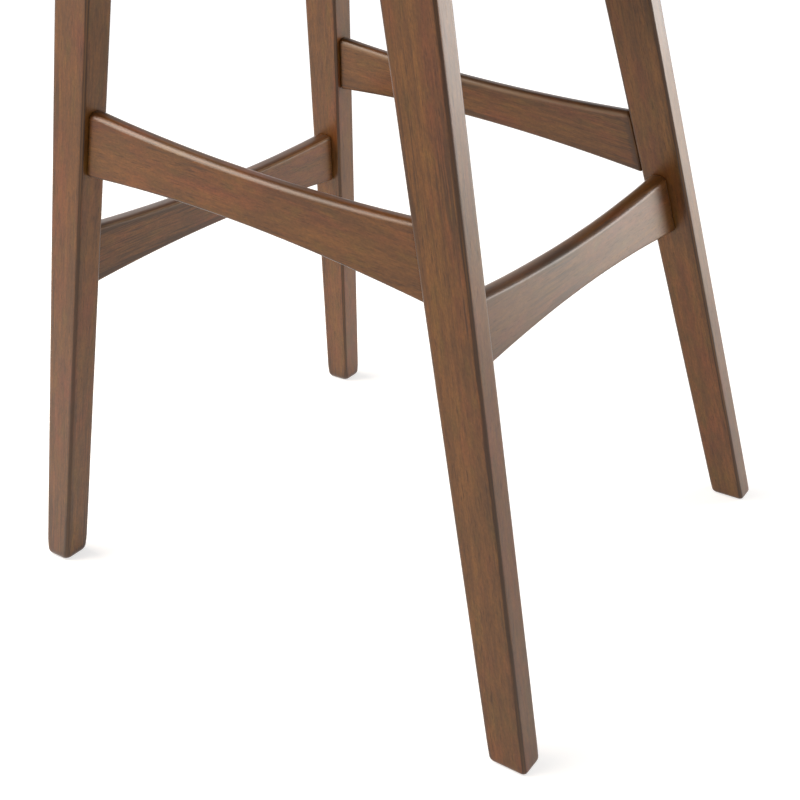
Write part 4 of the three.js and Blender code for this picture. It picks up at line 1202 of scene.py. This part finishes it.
# ------------------------------------------------------------------ dust cover and its staples
def make_dust(rings=18, cols=168):
    """Thin cloth stapled under the board, hanging a little where nothing carries it."""
    verts, weave = [], []
    phis = phi_steps(-180, 180, (arc(180) - arc(-180)) / cols)[:-1]
    cols = len(phis)
    area = 0.0

    def sag(x, y, r):
        # held along the edge and over the rails
        d_side = max(0.0, 128 - abs(x)) / 128
        d_front = max(0.0, min(y + 178, 88 - y)) / 133
        droop = 3.2 * smooth(0.0, 0.9, d_side) * smooth(0.0, 0.9, d_front)
        tuck = 0.25 * wobble(x / 22.0, y / 22.0, 5.0) * smooth(0.0, 0.25, 1 - r)
        return droop + tuck
    for level in (0, 1):
        for k in range(rings + 1):
            r = (k / rings) ** 0.9
            for phi in phis:
                bx, by, _, _ = outline(phi, 14.5 - 4.0)
                x, y = bx * r, (by - SEAT_CY) * r + SEAT_CY
                z = 0.55 - sag(x, y, r) + 0.35 * level
                verts.append(to_row(x, y, z))
                weave.append((x * MM, y * MM, 0.0))
    faces = []
    per = (rings + 1) * cols
    for k in range(1, rings):
        for i in range(cols):
            q = (i + 1) % cols
            a = (k * cols + i, k * cols + q, (k + 1) * cols + q, (k + 1) * cols + i)
            faces.append(a)
            faces.append(tuple(per + v for v in a[::-1]))
    # middle, then the edge
    for base, flip in ((0, False), (per, True)):
        c = tuple(base + cols + i for i in range(cols))
        faces.append(c[::-1] if not flip else c)
    for i in range(cols):
        q = (i + 1) % cols
        faces.append((rings * cols + i, rings * cols + q, per + rings * cols + q, per + rings * cols + i))
    used = sorted(set(v for f in faces for v in f))
    remap = {v: i for i, v in enumerate(used)}
    verts = [verts[v] for v in used]
    weave = [weave[v] for v in used]
    faces = [tuple(remap[v] for v in f) for f in faces]
    ob = finish_mesh("dust_cover_cloth", verts, faces, {"weave": ("FLOAT_VECTOR", weave)}, angle=60)
    edge = [outline(p, 10.5)[:2] for p in phis]
    for i in range(cols):
        a, b = edge[i], edge[(i + 1) % cols]
        area += 0.5 * (a[0] * b[1] - a[1] * b[0])
    return ob, abs(area) * 1e-6


dust, dust_area = make_dust()
done(dust, DUST, "dust_cloth", "dust_cover")


def make_staples():
    """Flat crown staples round the edge of the dust cover."""
    verts, faces = [], []
    phis = phi_steps(-180, 180, 27.0)[:-1]
    for n, phi in enumerate(phis):
        x, y, nx, ny = outline(phi, 15.5 + 1.2 * wobble(n * 3.1, 0.4))
        turn = 0.22 * wobble(n * 1.7, 2.2)
        tx, ty = -ny * math.cos(turn) + nx * math.sin(turn), nx * math.cos(turn) + ny * math.sin(turn)
        base = len(verts)
        prof = [(-5.0, 1.6), (-5.0, 0.15), (-4.6, -0.1), (4.6, -0.1), (5.0, 0.15), (5.0, 1.6)]
        for l, z in prof:
            for w, dz in ((-0.5, 0.0), (0.5, 0.0), (0.5, 0.42), (-0.5, 0.42)):
                inner = 0.42 if abs(l) > 4.9 and z > 1 else 0.0
                ll = l - math.copysign(dz if z < 1 and abs(l) > 4.9 else 0.0, l) * 0.0
                sx, sy = x + tx * ll + nx * w, y + ty * ll + ny * w
                if abs(l) > 4.9:
                    k = math.copysign(dz, l)
                    verts.append(to_row(sx - tx * k, sy - ty * k, z + (dz if z < 1 else 0)))
                else:
                    verts.append(to_row(sx, sy, z + dz))
        for i in range(len(prof) - 1):
            for j in range(4):
                q = (j + 1) % 4
                faces.append((base + i * 4 + j, base + i * 4 + q, base + (i + 1) * 4 + q, base + (i + 1) * 4 + j))
        faces.append((base + 3, base + 2, base + 1, base))
        e = base + (len(prof) - 1) * 4
        faces.append((e, e + 1, e + 2, e + 3))
    return finish_mesh("dust_cover_staples", verts, faces, angle=30)


done(make_staples(), STEEL, "zinc_steel")

# =====================================================================================
# stage: pale floor, soft boxes, white surround
# =====================================================================================
def make_floor():
    t = Tree("pale_floor")
    p = t.node("TexCoord").outputs["Object"]
    n = t.noise(p, 3.0, 3.0, 0.5)
    t.set(Base_Color=t.ramp(n, [(0.3, (0.54, 0.54, 0.54)), (0.7, (0.56, 0.56, 0.56))]), Roughness=0.9)
    t.bsdf.inputs["Specular IOR Level"].default_value = 0.1
    t.bsdf.inputs["Emission Color"].default_value = (1, 1, 1, 1)
    away = t.node("VectorMath")
    away.operation = "LENGTH"
    t.put(away.inputs[0], p)
    t.put(t.bsdf.inputs["Emission Strength"], t.level(away.outputs["Value"], 0.5, 2.2, 0.62, 0.85))
    n_seg, rings = 64, (0.6, 2.0, 6.0, 14.0)
    verts = [(0, 0, 0)]
    for r in rings:
        verts += [(r * math.cos(2 * math.pi * i / n_seg), r * math.sin(2 * math.pi * i / n_seg), 0) for i in range(n_seg)]
    faces = [(0, 1 + i, 1 + (i + 1) % n_seg) for i in range(n_seg)]
    for k in range(len(rings) - 1):
        a, b = 1 + k * n_seg, 1 + (k + 1) * n_seg
        faces += [(a + i, b + i, b + (i + 1) % n_seg, a + (i + 1) % n_seg) for i in range(n_seg)]
    ob = finish_mesh("floor", verts, faces, angle=None, flip=False)
    set_material(ob, t.mat)


def soft_box(name, at, to, size, radiance, color=(1, 1, 1)):
    data = bpy.data.lights.new(name, "AREA")
    data.shape = "RECTANGLE"
    data.size, data.size_y = size
    data.energy = radiance * size[0] * size[1] * math.pi
    data.color = color
    ob = bpy.data.objects.new(name, data)
    scene.collection.objects.link(ob)
    ob.location = at
    ob.rotation_mode = "QUATERNION"
    ob.rotation_quaternion = (Vector(to) - Vector(at)).to_track_quat("-Z", "Y")
    ob.visible_camera = False
    return ob


make_floor()
soft_box("rear_panel_high", (-1.05, 0.86, 0.72), (0.0, 0.86, 0.72), (0.66, 0.52), 8.9, (1.0, 0.95, 0.90))
soft_box("rear_panel_middle", (-1.05, 0.86, 0.335), (0.0, 0.86, 0.335), (0.66, 0.23), 4.4, (1.0, 0.91, 0.80))
soft_box("rear_panel_low", (-1.05, 0.86, 0.12), (0.0, 0.86, 0.12), (0.66, 0.20), 2.2, (1.0, 0.90, 0.76))
soft_box("key_box", (0.52, -1.02, 1.55), (0.2, -0.02, 0.42), (1.3, 1.15), 12.2, (1.0, 0.88, 0.76))

world = bpy.data.worlds.new("studio")
scene.world = world
world.use_nodes = True
wt = world.node_tree
bg = wt.nodes["Background"]
wc = wt.nodes.new("ShaderNodeTexCoord")
ws = wt.nodes.new("ShaderNodeSeparateXYZ")
wr = wt.nodes.new("ShaderNodeValToRGB")
wr.color_ramp.interpolation = "EASE"
wr.color_ramp.elements[0].position, wr.color_ramp.elements[0].color = 0.14, (1, 1, 1, 1)
wr.color_ramp.elements[1].position, wr.color_ramp.elements[1].color = 0.46, (0.20, 0.20, 0.20, 1)
wt.links.new(wc.outputs["Generated"], ws.inputs[0])
wt.links.new(ws.outputs[2], wr.inputs[0])
wt.links.new(wr.outputs[0], bg.inputs["Color"])
bg.inputs["Strength"].default_value = 1.35
scene.view_settings.view_transform = "Standard"
